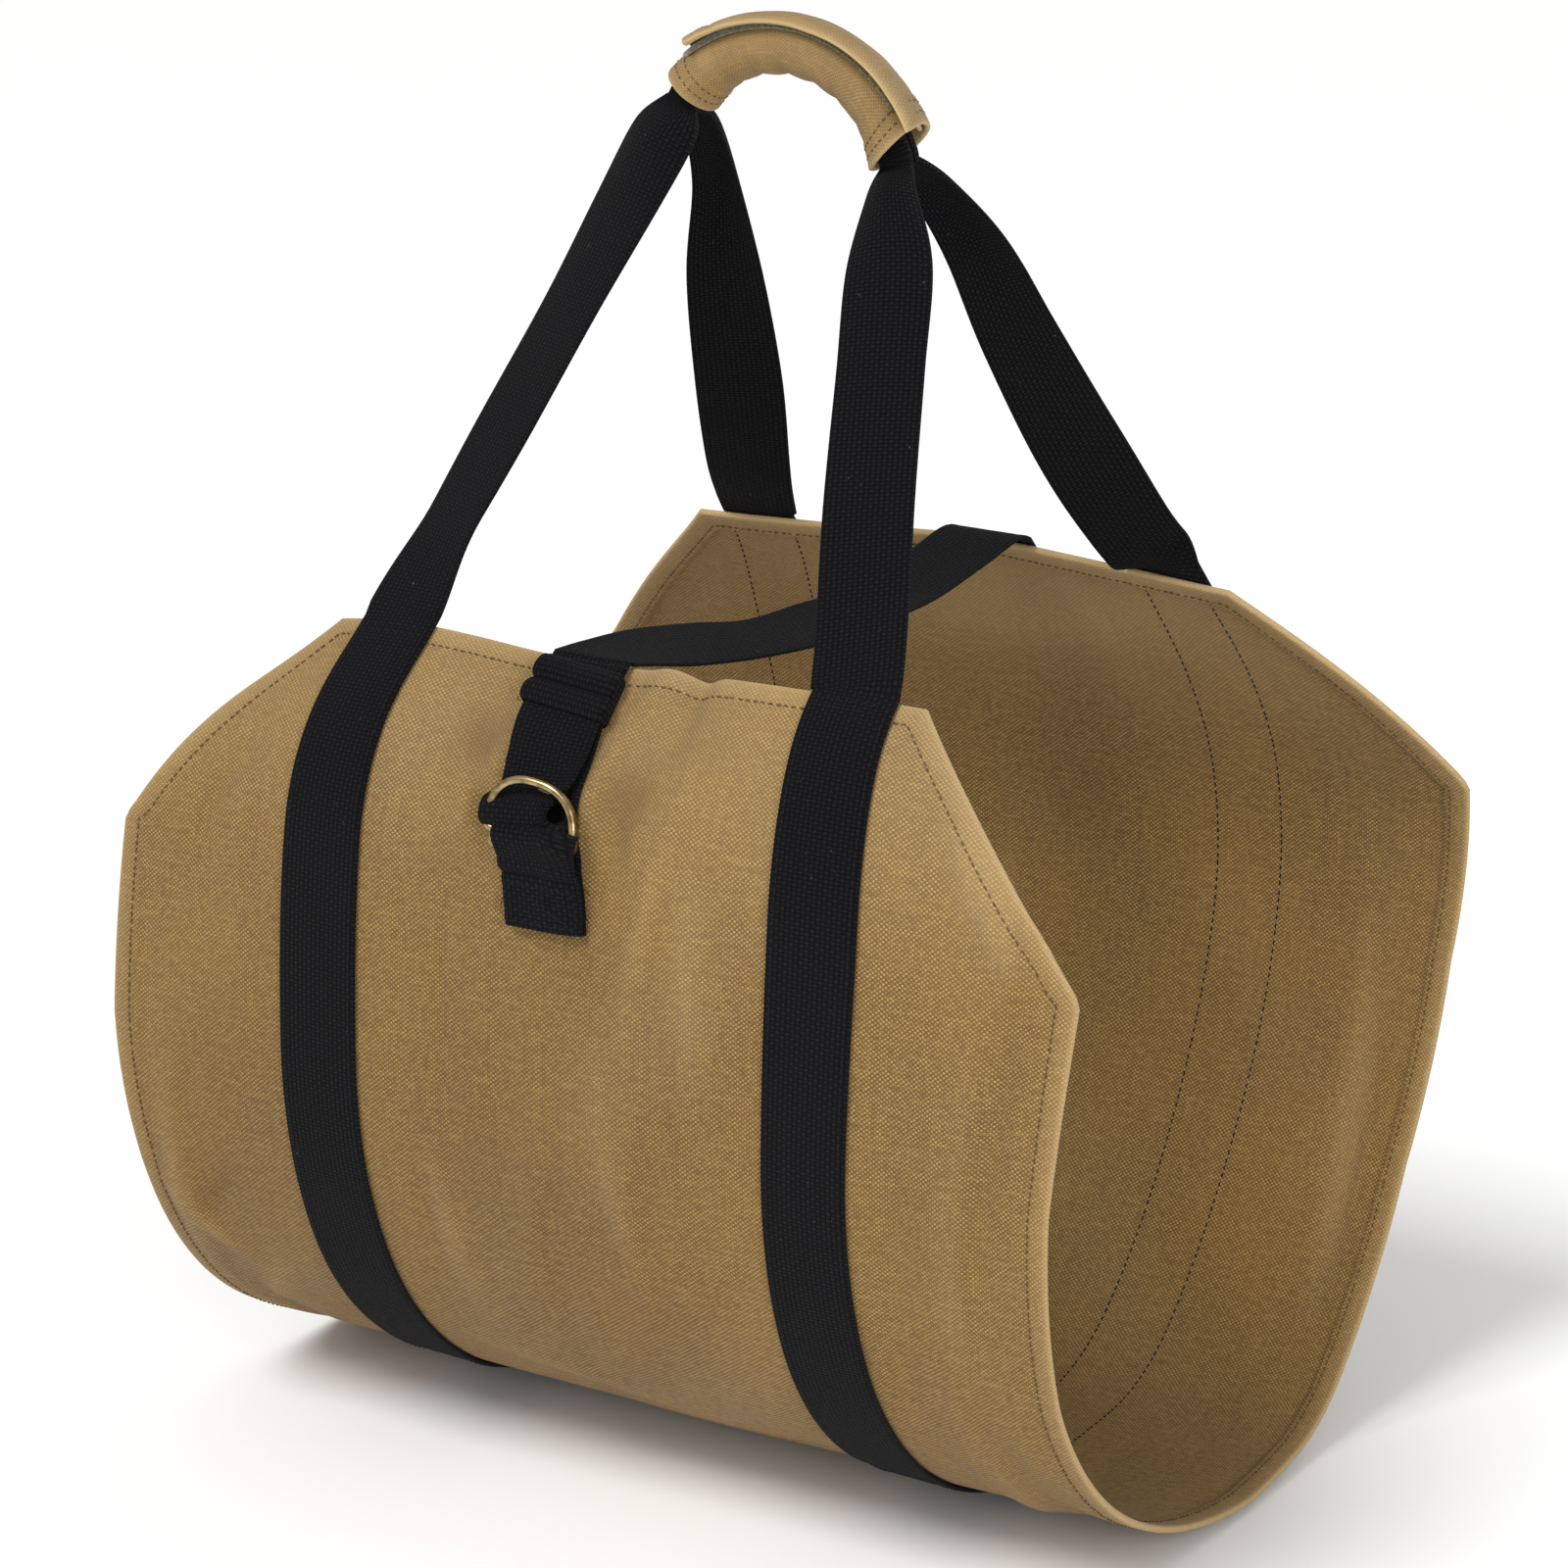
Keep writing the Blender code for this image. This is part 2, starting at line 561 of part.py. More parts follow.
def strap_front_rows():
    keeper_end = KEEPER_DOWN + KEEPER_HEIGHT / 2 + SEAT_GAP
    free = ARC_DOWN - keeper_end
    turn_down = ARC_DOWN + FOLD_LOOSE
    fold_width = WEBBING_WIDTH * STRAP_DOWN[-1].width
    rows = [(down, KEEPER_MAIN, WEBBING_WIDTH) for down in np.linspace(0, keeper_end, 5)]
    for lie in STRAP_DOWN:
        rows.append((keeper_end + free * lie.share, LOW, WEBBING_WIDTH * lie.width))
    for angle in np.linspace(-90, 90, FOLD_CUTS + 1):
        turned = math.radians(angle)
        rows.append((turn_down + FOLD_RADIUS * math.cos(turned),
                     REAR_ARC_HEIGHT + FOLD_RADIUS * math.sin(turned), fold_width))
    for lie in STRAP_UP:
        height = LOW + LAYER * lie.layers
        rows.append((keeper_end + free * lie.share, height, WEBBING_WIDTH * lie.width))
    for down in np.linspace(keeper_end, TAIL_END, 4):
        rows.append((down, KEEPER_MAIN + LAYER, WEBBING_WIDTH))
    return rows


def cross_strap(finish):
    # Sewn outside the back panel, over the mouth, then down the front.
    half = WEBBING_WIDTH / 2
    places = (BACK_MIDDLE - half, BACK_MIDDLE, BACK_MIDDLE + half)
    rings = []
    for down in np.linspace(STRAP_TUCK, 0, 8):
        along = HALF_LENGTH - down
        ring = [on_sheet(place, along, SEAT_GAP + WEBBING_WALL) for place in places]
        ring += [on_sheet(place, along, SEAT_GAP) for place in reversed(places)]
        rings.append(ring)
    start = on_sheet(BACK_MIDDLE, HALF_LENGTH, LOW)
    end = on_front(0, 0, KEEPER_MAIN)
    rows = [tuple(start)]
    for sag in MOUTH_SAG:
        lift = Vector((0, 0, sag.rise * 2 * MOUTH_HALF))
        rows.append(tuple(start.lerp(end, sag.forward) + lift))
    rows.append(tuple(end))
    path = [Vector(row) for row in smooth(rows, SMOOTH_CUTS)]
    for before, place, after in zip(path, path[1:], path[2:]):
        tangent = (after - before).normalized()
        side = Vector((1, 0, 0))
        side = (side - tangent * side.dot(tangent)).normalized()
        up = side.cross(tangent) * -1
        face = [place + side * (half * step) + up * (WEBBING_WALL / 2) for step in (-1, 0, 1)]
        back = [place + side * (half * step) - up * (WEBBING_WALL / 2) for step in (1, 0, -1)]
        rings.append(face + back)
    rings += ribbon_rings(strap_front_rows(), 1)
    return loft("cross_strap", rings, finish)


def strap_keeper(finish):
    # A band right round both layers of the strap.
    inner = WEBBING_WIDTH / 2 + SEAT_GAP
    bottom = SEAT_GAP + KEEPER_WALL
    top = KEEPER_MAIN + LAYER + WEBBING_WALL / 2 + SEAT_GAP
    corners = []
    for side, low, high in ((1, bottom, top), (-1, top, bottom)):
        grow = 1 if low < high else -1
        corners.append((side * inner, low, side * (inner + KEEPER_WALL), low - grow * KEEPER_WALL))
        corners.append((side * inner, high, side * (inner + KEEPER_WALL), high + grow * KEEPER_WALL))
        for step in (0.5, 0, -0.5):
            corners.append((side * inner * step, high, side * inner * step, high + grow * KEEPER_WALL))
    downs = KEEPER_DOWN + KEEPER_HEIGHT * np.linspace(-0.5, 0.5, KEEPER_CUTS + 1)
    rings = []
    for aside, height, outer_aside, outer_height in corners:
        ring = [on_front(outer_aside, down, outer_height) for down in downs]
        ring += [on_front(aside, down, height) for down in reversed(downs)]
        rings.append(ring)
    return loft("strap_keeper", rings, finish, closed=True)


def ring_tab(finish):
    # Both ends sewn down, the fold round the rings' bars.
    low = LOW + SEAT_GAP
    bar = RING_BAR_DOWN
    wrap = RING_WIRE / 2 + TAB_GAP + WEBBING_WALL / 2
    front_down = bar - FRONT_BAR_SHIFT
    front_height = REAR_BAR_HEIGHT + FRONT_BAR_LIFT
    end = bar + TAB_LENGTH
    rows = [(down, low, TAB_WIDTH) for down in np.linspace(end, bar + 2 * wrap, 3)]
    rows.append((bar, low, TAB_NECK))
    for degrees in TAB_TURN:
        angle = math.radians(degrees)
        rows.append((front_down + wrap * math.cos(angle),
                     front_height + wrap * math.sin(angle), TAB_NECK))
    rows.append((bar + wrap, REAR_BAR_HEIGHT + wrap / 2, TAB_NECK))
    rows.append((bar + 2 * wrap, low + TAB_REST * LAYER, TAB_WIDTH))
    rows += [(down, low + LAYER, TAB_WIDTH) for down in np.linspace(bar + 3 * wrap, end, 3)]
    return loft("ring_tab", ribbon_rings(rows, SMOOTH_CUTS), finish)


def ring_outline():
    # Middle line of a D-ring's wire: the bar with round corners, then the arc.
    half = (RING_WIDTH + RING_WIRE) / 2
    points = []
    for degrees in (270, 300, 330, 360):
        angle = math.radians(degrees)
        points.append((half - RING_CORNER + RING_CORNER * math.cos(angle),
                       RING_CORNER + RING_CORNER * math.sin(angle)))
    for step in range(1, RING_CUTS):
        angle = math.pi * step / RING_CUTS
        cosine, sine = math.cos(angle), math.sin(angle)
        power = 2 / RING_ROUND
        points.append((math.copysign(half * abs(cosine) ** power, cosine),
                       RING_CORNER + (RING_HEIGHT - RING_CORNER) * sine ** power))
    points += [(-x, y) for x, y in reversed(points[:4])]
    return points


def d_ring(name, bar_down, bar_height, arc_height, finish):
    curve = bpy.data.curves.new(name, "CURVE")
    curve.dimensions = "3D"
    curve.bevel_depth = RING_WIRE / 2
    curve.bevel_resolution = RING_SIDES
    outline = ring_outline()
    spline = curve.splines.new("POLY")
    spline.points.add(len(outline) - 1)
    for point, (x, y) in zip(spline.points, outline):
        point.co = (x, y, 0, 1)
    spline.use_cyclic_u = True
    made = new_object(name, curve, finish)
    bar = on_front(0, bar_down, bar_height)
    arc = on_front(0, bar_down - RING_HEIGHT, arc_height)
    along = (arc - bar).normalized()
    aside = on_front(0.01, bar_down, bar_height) - on_front(-0.01, bar_down, bar_height)
    aside = (aside - along * aside.dot(along)).normalized()
    axes = Matrix((aside, along, aside.cross(along))).transposed()
    made.matrix_world = Matrix.Translation(bar) @ axes.to_4x4()
    return made


def build():
    for old in list(bpy.data.objects):
        bpy.data.objects.remove(old)
    canvas = material("Waxed canvas", (0.235, 0.150, 0.060), 0.85)
    webbing = material("Black cotton webbing", (0.010, 0.010, 0.013), 0.8)
    tape = material("Hook and loop tape", (0.10, 0.09, 0.035), 0.95)
    brass = material("Antique brass", (0.30, 0.20, 0.09), 0.35, 1.0)
    canvas_panel(canvas)
    webbing_loop("webbing_front", FRONT, webbing)
    webbing_loop("webbing_back", BACK, webbing)
    grip_cover(canvas)
    grip_tape(tape)
    cross_strap(webbing)
    strap_keeper(webbing)
    ring_tab(webbing)
    d_ring("d_ring_rear", RING_BAR_DOWN, REAR_BAR_HEIGHT, REAR_ARC_HEIGHT, brass)
    d_ring("d_ring_front", RING_BAR_DOWN - FRONT_BAR_SHIFT,
           REAR_BAR_HEIGHT + FRONT_BAR_LIFT, FRONT_ARC_HEIGHT, brass)


build()
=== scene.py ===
import math

import bpy
import numpy as np
from mathutils import Matrix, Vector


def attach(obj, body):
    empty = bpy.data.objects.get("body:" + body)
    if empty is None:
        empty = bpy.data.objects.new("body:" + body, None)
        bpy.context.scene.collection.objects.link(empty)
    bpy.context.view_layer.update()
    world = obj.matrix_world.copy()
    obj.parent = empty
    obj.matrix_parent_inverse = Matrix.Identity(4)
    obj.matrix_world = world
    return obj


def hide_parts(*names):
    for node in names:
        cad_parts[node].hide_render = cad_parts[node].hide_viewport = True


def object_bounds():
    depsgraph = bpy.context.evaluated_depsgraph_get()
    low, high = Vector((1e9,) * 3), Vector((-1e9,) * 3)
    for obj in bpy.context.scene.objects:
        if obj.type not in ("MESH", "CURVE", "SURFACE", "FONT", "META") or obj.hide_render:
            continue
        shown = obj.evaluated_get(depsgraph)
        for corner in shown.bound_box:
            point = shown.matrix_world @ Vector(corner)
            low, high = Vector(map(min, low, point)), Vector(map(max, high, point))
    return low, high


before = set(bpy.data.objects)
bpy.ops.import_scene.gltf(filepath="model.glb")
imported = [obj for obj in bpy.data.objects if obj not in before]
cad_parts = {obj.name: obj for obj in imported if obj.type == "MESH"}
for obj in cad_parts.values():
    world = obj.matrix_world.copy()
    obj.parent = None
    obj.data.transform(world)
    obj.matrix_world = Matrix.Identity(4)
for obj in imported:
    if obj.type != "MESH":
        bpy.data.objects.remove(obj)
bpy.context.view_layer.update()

# Canvas log carrier, dressed over its plain solids. Metres, +Z up, front to -Y.
# The origin is under the crown of the grip, where a hand holds it.

dice = np.random.default_rng(7)
frontSide, backSide = -1, 1


def toLinear(hexText):
    # sRGB hex to the linear colour that the shaders take
    out = []
    for i in (0, 2, 4):
        c = int(hexText[i:i + 2], 16) / 255
        out.append(c / 12.92 if c <= 0.04045 else ((c + 0.055) / 1.055) ** 2.4)
    return (*out, 1.0)


def addNode(tree, kind, settings=None, values=None, links=None):
    # settings are the node's own, values go in unlinked sockets, links in the others
    node = tree.nodes.new("ShaderNode" + kind)
    for key, value in (settings or {}).items():
        setattr(node, key, value)
    for key, value in (values or {}).items():
        node.inputs[key].default_value = value
    for key, source in (links or {}).items():
        tree.links.new(source, node.inputs[key])
    return node


def startMaterial(name):
    made = bpy.data.materials.new(name)
    made.use_nodes = True
    return made, made.node_tree, made.node_tree.nodes["Principled BSDF"]


def finishShader(tree, shader, colour, height, bump, fixed):
    # the end that every material shares: its colour, its fixed sockets and its relief
    tree.links.new(colour, shader.inputs["Base Color"])
    for key, value in fixed.items():
        shader.inputs[key].default_value = value
    relief = addNode(tree, "Bump", values={"Strength": bump[0], "Distance": bump[1]},
                     links={"Height": height})
    tree.links.new(relief.outputs[0], shader.inputs["Normal"])
    return relief


def unit(v):
    return v / np.maximum(np.linalg.norm(v, axis=-1, keepdims=True), 1e-12)


def smoothStep(x):
    x = np.clip(x, 0, 1)
    return x * x * (3 - 2 * x)


def catmull(rows, cuts):
    # a smooth way through rows of numbers
    rows = [np.array(row, float) for row in rows]
    ends = [2 * rows[0] - rows[1]] + rows + [2 * rows[-1] - rows[-2]]
    out = []
    for a, b, c, d in zip(ends, ends[1:], ends[2:], ends[3:]):
        for cut in range(cuts):
            t = cut / cuts
            bend = 2 * a - 5 * b + 4 * c - d
            twist = 3 * b - a - 3 * c + d
            out.append(b + 0.5 * ((c - a) * t + bend * t * t + twist * t ** 3))
    return np.array(out + [rows[-1]])


def addObject(name, data):
    made = bpy.data.objects.new(name, data)
    bpy.context.scene.collection.objects.link(made)
    return made


def poseOf(right, up, back, spot):
    axes = np.eye(4)
    axes[:3, 0], axes[:3, 1], axes[:3, 2], axes[:3, 3] = right, up, back, spot
    return Matrix(axes.tolist())


def meshObject(name, points, faces, finish, uvs=None, marks=None):
    # uvs are one pair a point, in metres of cloth; marks are named floats a point
    data = bpy.data.meshes.new(name)
    data.from_pydata(np.asarray(points, float).tolist(), [], faces)
    data.update()
    if uvs is not None:
        layer = data.uv_layers.new(name="UVMap")
        corners = np.empty(len(data.loops), np.int32)
        data.loops.foreach_get("vertex_index", corners)
        layer.data.foreach_set("uv", np.asarray(uvs, np.float32)[corners].ravel())
    for key, values in (marks or {}).items():
        attribute = data.attributes.new(key, "FLOAT", "POINT")
        attribute.data.foreach_set("value", np.asarray(values, np.float32).ravel())
    data.shade_smooth()
    data.materials.append(finish)
    return addObject(name, data)


def outward(points, faces):
    # turns every face round if the signed volume says that they face in
    first = np.array([face[0] for face in faces])
    second = np.array([face[1] for face in faces])
    third = np.array([face[2] for face in faces])
    last = np.array([face[-1] for face in faces])
    p = np.asarray(points, float)
    volume = np.einsum("ij,ij->i", p[first], np.cross(p[second], p[third])).sum()
    volume += np.einsum("ij,ij->i", p[first], np.cross(p[third], p[last])).sum()
    return [face[::-1] for face in faces] if volume < 0 else faces


def skin(name, rings, finish, across, closed=False):
    # Faces over rings of points, (stations, points round, 3). across is each point's
    # place over the cloth's width, so that the weave follows the strap.
    rings = np.asarray(rings, float)
    n, m = rings.shape[:2]
    faces = []
    for i in range(n if closed else n - 1):
        a, b = i * m, ((i + 1) % n) * m
        for j in range(m):
            k = (j + 1) % m
            faces.append((a + j, a + k, b + k, b + j))
    if not closed:
        faces.append(tuple(range(m - 1, -1, -1)))
        faces.append(tuple(range((n - 1) * m, n * m)))
    middle = rings.mean(axis=1)
    steps = np.linalg.norm(np.diff(middle, axis=0), axis=1)
    along = np.concatenate([[0], np.cumsum(steps)])
    uvs = np.stack([np.broadcast_to(across, (n, m)),
                    np.broadcast_to(along[:, None], (n, m))], axis=-1).reshape(-1, 2)
    points = rings.reshape(-1, 3)
    return meshObject(name, points, outward(points, faces), finish, uvs)


def hemmedSkin(name, outer, inner, spread, wearAndPaintedLight, soilAndShade, finish):
    # One closed skin from the grids of its two faces, which share the points of the border.
    n, m = outer.shape[:2]
    inside = np.zeros((n, m), bool)
    inside[1:-1, 1:-1] = True
    numbers = np.arange(n * m).reshape(n, m)
    innerNumbers = numbers.copy()
    innerNumbers[inside] = n * m + np.arange(inside.sum())

    def both(first, second):
        return np.concatenate([first.reshape(n * m, *first.shape[2:]), second[inside]])

    faces = []
    for i in range(n - 1):
        for j in range(m - 1):
            faces.append((numbers[i, j], numbers[i + 1, j], numbers[i + 1, j + 1],
                          numbers[i, j + 1]))
            faces.append((innerNumbers[i, j], innerNumbers[i, j + 1],
                          innerNumbers[i + 1, j + 1], innerNumbers[i + 1, j]))
    faces = [tuple(int(k) for k in face) for face in faces]
    points = both(outer, inner)
    # two marks a point: paler for wear and painted highlight, darker for soil and painted shade
    marks = {"wearAndPaintedLight": both(wearAndPaintedLight, wearAndPaintedLight), "soilAndShade": both(soilAndShade, soilAndShade)}
    return meshObject(name, points, outward(points, faces), finish, both(spread, spread), marks)


def place(piece, slotName, *nodes):
    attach(piece, "root")
    if nodes:
        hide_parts(*nodes)
    return piece


camera = {
    "azimuth": 31.0, "elevation": 16.0, "roll": 1.2,  # degrees
    "distance": 2.040, "target": (0.00035, 0.010, -0.2962),  # metres
    "near": 0.05, "far": 900,
    "lens": 112.5, "sensor": 36,  # millimetres
}


def makeCamera():
    a, e, r = (math.radians(camera[key]) for key in ("azimuth", "elevation", "roll"))
    back = np.array([math.sin(a) * math.cos(e), -math.cos(a) * math.cos(e), math.sin(e)])
    right = np.array([math.cos(a), math.sin(a), 0])
    up = np.cross(back, right)
    data = bpy.data.cameras.new("photoCamera")
    data.lens, data.sensor_width = camera["lens"], camera["sensor"]
    data.clip_start, data.clip_end = camera["near"], camera["far"]
    made = addObject("photoCamera", data)
    made.matrix_world = poseOf(right * math.cos(r) + up * math.sin(r),
                               up * math.cos(r) - right * math.sin(r), back,
                               np.array(camera["target"]) + back * camera["distance"])
    bpy.context.scene.camera = made


makeCamera()
print("camera set")


def brickWeave(tree, spot, wide, high):
    # sines both ways, multiplied, so that grains of these mm lie like bricks
    scaled = addNode(tree, "VectorMath", {"operation": "MULTIPLY"},
                     {1: (1000 * math.pi / wide, 1000 * math.pi / high, 1)}, {0: spot})
    waves = addNode(tree, "VectorMath", {"operation": "SINE"}, links={0: scaled.outputs[0]})
    parts = addNode(tree, "SeparateXYZ", links={0: waves.outputs[0]})
    return addNode(tree, "Math", {"operation": "MULTIPLY"},
                   links={0: parts.outputs["X"], 1: parts.outputs["Y"]})


# its soiling colour also paints shade in creases, and its wear colour also paints highlight on
# edges and crests and light on the top of the sheet
canvasLook = {
    "base": "6B4F27", "light": "B59455", "dark": "594121", "wearAndPaintedLight": "C6AA7A", "soilAndShade": "483318",
    "speck": "4A3318",
    "grainWide": 1.15, "grainHigh": 0.95,  # mm; a real grain is 0.5 x 0.4, drawn coarser to show
    "wander": 0.0007,  # metres that a yarn strays
    "contrast": 0.90, "gripContrast": 0.60, "gripFiner": 0.68,
    "weft": 0.20, "warp": 0.13, "streaks": 0.5, "specks": 0.55, "soiledAndShaded": 0.8, "rubbed": 0.75,
    "roughness": 0.88, "sheen": 0.05, "specular": 0.35,
    "bump": (0.55, 0.0004), "slack": (0.7, 0.0022),  # strength, and depth in metres
}


def waxedDuck(name, finer, contrast):
    # Waxed cotton duck: a heavy plain weave of uneven yarns. The eye sees small pale
    # grains set like bricks, slubs both ways, cloudy wax, paler edges and fold crests that are
    # partly rubbed and partly painted highlight, a top painted paler as light from above, and
    # dark marks that are partly soil and partly painted shade in creases.
    made, tree, shader = startMaterial(name)
    coords = addNode(tree, "UVMap", {"uv_map": "UVMap"})
    wobble = addNode(tree, "TexNoise", values={"Scale": 330, "Detail": 2},
                     links={"Vector": coords.outputs[0]})
    wander = canvasLook["wander"]
    shift = addNode(tree, "VectorMath", {"operation": "MULTIPLY"}, {1: (wander, wander, 0)},
                    {0: wobble.outputs["Color"]})
    moved = addNode(tree, "VectorMath", {"operation": "ADD"},
                    links={0: coords.outputs[0], 1: shift.outputs[0]})
    weave = brickWeave(tree, moved.outputs[0], finer * canvasLook["grainWide"],
                       finer * canvasLook["grainHigh"])
    bricks = addNode(tree, "MapRange", {"interpolation_type": "SMOOTHSTEP"},
                     {"From Min": -0.15, "From Max": 0.80}, {"Value": weave.outputs[0]})
    uneven = addNode(tree, "MapRange",
                     values={"From Min": 0.30, "From Max": 0.62, "To Min": 0.25},
                     links={"Value": wobble.outputs["Fac"]})
    grain = addNode(tree, "Math", {"operation": "MULTIPLY"},
                    links={0: bricks.outputs[0], 1: uneven.outputs[0]})

    def stretched(scale, detail, low, high):
        mapped = addNode(tree, "Mapping", values={"Scale": scale},
                         links={"Vector": coords.outputs[0]})
        noise = addNode(tree, "TexNoise", values={"Scale": 1, "Detail": detail},
                        links={"Vector": mapped.outputs[0]})
        return addNode(tree, "MapRange", values={"From Min": low, "From Max": high},
                       links={"Value": noise.outputs["Fac"]})

    weftSlubs = stretched((70, 900, 1), 2, 0.50, 0.72)
    warpSlubs = stretched((900, 60, 1), 2, 0.52, 0.75)
    clouds = stretched((14, 10, 1), 4, 0.32, 0.68)
    specks = stretched((700, 700, 1), 2, 0.70, 0.80)
    streaks = stretched((160, 9, 1), 3, 0.35, 0.70)

    def mixed(factor, low, high, share=1.0):
        amount = addNode(tree, "Math", {"operation": "MULTIPLY"}, {1: share},
                         {0: factor})
        node = addNode(tree, "Mix", {"data_type": "RGBA"},
                       links={"Factor": amount.outputs[0]})
        for key, value in ((6, low), (7, high)):
            if isinstance(value, str):
                node.inputs[key].default_value = toLinear(value)
            else:
                tree.links.new(value, node.inputs[key])
        return node.outputs[2]

    colour = mixed(clouds.outputs[0], canvasLook["dark"], canvasLook["base"])
    colour = mixed(streaks.outputs[0], colour, canvasLook["base"], canvasLook["streaks"])
    colour = mixed(grain.outputs[0], colour, canvasLook["light"], contrast)
    colour = mixed(weftSlubs.outputs[0], colour, canvasLook["light"], canvasLook["weft"])
    colour = mixed(warpSlubs.outputs[0], colour, canvasLook["light"], canvasLook["warp"])
    colour = mixed(specks.outputs[0], colour, canvasLook["speck"], canvasLook["specks"])
    # darker where marked: stains, and painted shade in creases and hollows
    soilAndShade = addNode(tree, "Attribute", {"attribute_name": "soilAndShade"})
    colour = mixed(soilAndShade.outputs["Fac"], colour, canvasLook["soilAndShade"], canvasLook["soiledAndShaded"])
    # paler where marked: wear, painted highlight on edges and crests, and painted light on the
    # top of the sheet
    edge = addNode(tree, "Attribute", {"attribute_name": "wearAndPaintedLight"})
    colour = mixed(edge.outputs["Fac"], colour, canvasLook["wearAndPaintedLight"], canvasLook["rubbed"])
    rough = addNode(tree, "MapRange",
                    values={"To Min": canvasLook["roughness"] - 0.10,
                            "To Max": canvasLook["roughness"] + 0.08},
                    links={"Value": clouds.outputs[0]})
    tree.links.new(rough.outputs[0], shader.inputs["Roughness"])
    height = addNode(tree, "Math", {"operation": "MULTIPLY_ADD"}, {1: 0.7},
                     {0: weftSlubs.outputs[0], 2: grain.outputs[0]})
    height = addNode(tree, "Math", {"operation": "MULTIPLY_ADD"}, {1: 0.5},
                     {0: warpSlubs.outputs[0], 2: height.outputs[0]})
    fine = finishShader(tree, shader, colour, height.outputs[0], canvasLook["bump"],
                        {"Specular IOR Level": canvasLook["specular"],
                         "Sheen Weight": canvasLook["sheen"], "Sheen Roughness": 0.5})
    soft = stretched((42, 24, 1), 3, 0.2, 0.8)
    # slack over the whole cloth, laid on top of the grain's own relief
    strength, depth = canvasLook["slack"]
    coarse = addNode(tree, "Bump", values={"Strength": strength, "Distance": depth},
                     links={"Height": soft.outputs[0], "Normal": fine.outputs[0]})
    tree.links.new(coarse.outputs[0], shader.inputs["Normal"])
    return made


webbingLook = {
    "ground": "020203", "yarn": "19191D", "lint": "6A6A6E",
    "seedWidth": 2.2, "seedLength": 1.6,  # mm; a real seed is 1.5 x 0.9, drawn coarser to show
    "roughness": 0.78, "sheen": 0.02, "specular": 0.10,
    "bump": (1.0, 0.0009),  # strength, and depth in metres
}


def cottonWebbing():
    # Black cotton webbing, woven in a narrow seed twill. The eye sees rows of small
    # raised seeds set like bricks, a soft sheen across them and a little pale lint.
    made, tree, shader = startMaterial("blackCottonWebbing")
    coords = addNode(tree, "UVMap", {"uv_map": "UVMap"})
    weave = brickWeave(tree, coords.outputs[0], webbingLook["seedWidth"],
                       webbingLook["seedLength"])
    seeds = addNode(tree, "Math", {"operation": "ABSOLUTE"},
                    links={0: weave.outputs[0]})
    ribs = addNode(tree, "Math", {"operation": "MULTIPLY_ADD"}, {1: 0.35},
                   {0: weave.outputs[0], 2: seeds.outputs[0]})
    noise = addNode(tree, "TexNoise", values={"Scale": 900, "Detail": 3},
                    links={"Vector": coords.outputs[0]})
    tone = addNode(tree, "Math", {"operation": "MULTIPLY_ADD"}, {1: 0.5},
                   {0: noise.outputs["Fac"], 2: ribs.outputs[0]})
    share = addNode(tree, "MapRange", values={"From Min": 0.2, "From Max": 1.3},
                    links={"Value": tone.outputs[0]})
    colour = addNode(tree, "Mix", {"data_type": "RGBA"},
                     {6: toLinear(webbingLook["ground"]), 7: toLinear(webbingLook["yarn"])},
                     {"Factor": share.outputs[0]})
    stretch = addNode(tree, "Mapping", values={"Scale": (420, 260, 1)},
                      links={"Vector": coords.outputs[0]})
    fluff = addNode(tree, "TexNoise", values={"Scale": 1, "Detail": 4},
                    links={"Vector": stretch.outputs[0]})
    lint = addNode(tree, "MapRange",
                   values={"From Min": 0.71, "From Max": 0.78, "To Max": 0.6},
                   links={"Value": fluff.outputs["Fac"]})
    dusted = addNode(tree, "Mix", {"data_type": "RGBA"},
                     {7: toLinear(webbingLook["lint"])},
                     {"Factor": lint.outputs[0], 6: colour.outputs[2]})
    rough = addNode(tree, "MapRange",
                    values={"To Min": webbingLook["roughness"], "To Max": 0.92},
                    links={"Value": noise.outputs["Fac"]})
    tree.links.new(rough.outputs[0], shader.inputs["Roughness"])
    finishShader(tree, shader, dusted.outputs[2], tone.outputs[0], webbingLook["bump"],
                 {"Specular IOR Level": webbingLook["specular"],
                  "Sheen Weight": webbingLook["sheen"], "Sheen Roughness": 0.4})
    return made


threadLook = {"brown": "6A5231", "black": "131316", "roughness": 0.7, "specular": 0.2,
              "bump": (0.4, 0.0002)}


def spunThread(name, hexText):
    # Spun polyester sewing thread, twisted: the eye sees a soft matt cord with fine
    # slanting plies, 0.8 mm a turn drawn as 1.2 mm so that they show.
    made, tree, shader = startMaterial(name)
    coords = addNode(tree, "TexCoord")
    plies = addNode(tree, "TexWave", {"bands_direction": "DIAGONAL"},
                    {"Scale": 260}, {"Vector": coords.outputs["Object"]})
    dark = [c * 0.55 for c in toLinear(hexText)[:3]]
    colour = addNode(tree, "Mix", {"data_type": "RGBA"},
                     {6: (*dark, 1), 7: toLinear(hexText)}, {"Factor": plies.outputs["Fac"]})
    finishShader(tree, shader, colour.outputs[2], plies.outputs["Fac"], threadLook["bump"],
                 {"Roughness": threadLook["roughness"],
                  "Specular IOR Level": threadLook["specular"]})
    return made


tapeLook = {"deep": "3A3620", "fuzz": "7D7650", "roughness": 0.95, "sheen": 0.5,
            "bump": (1.0, 0.0006)}


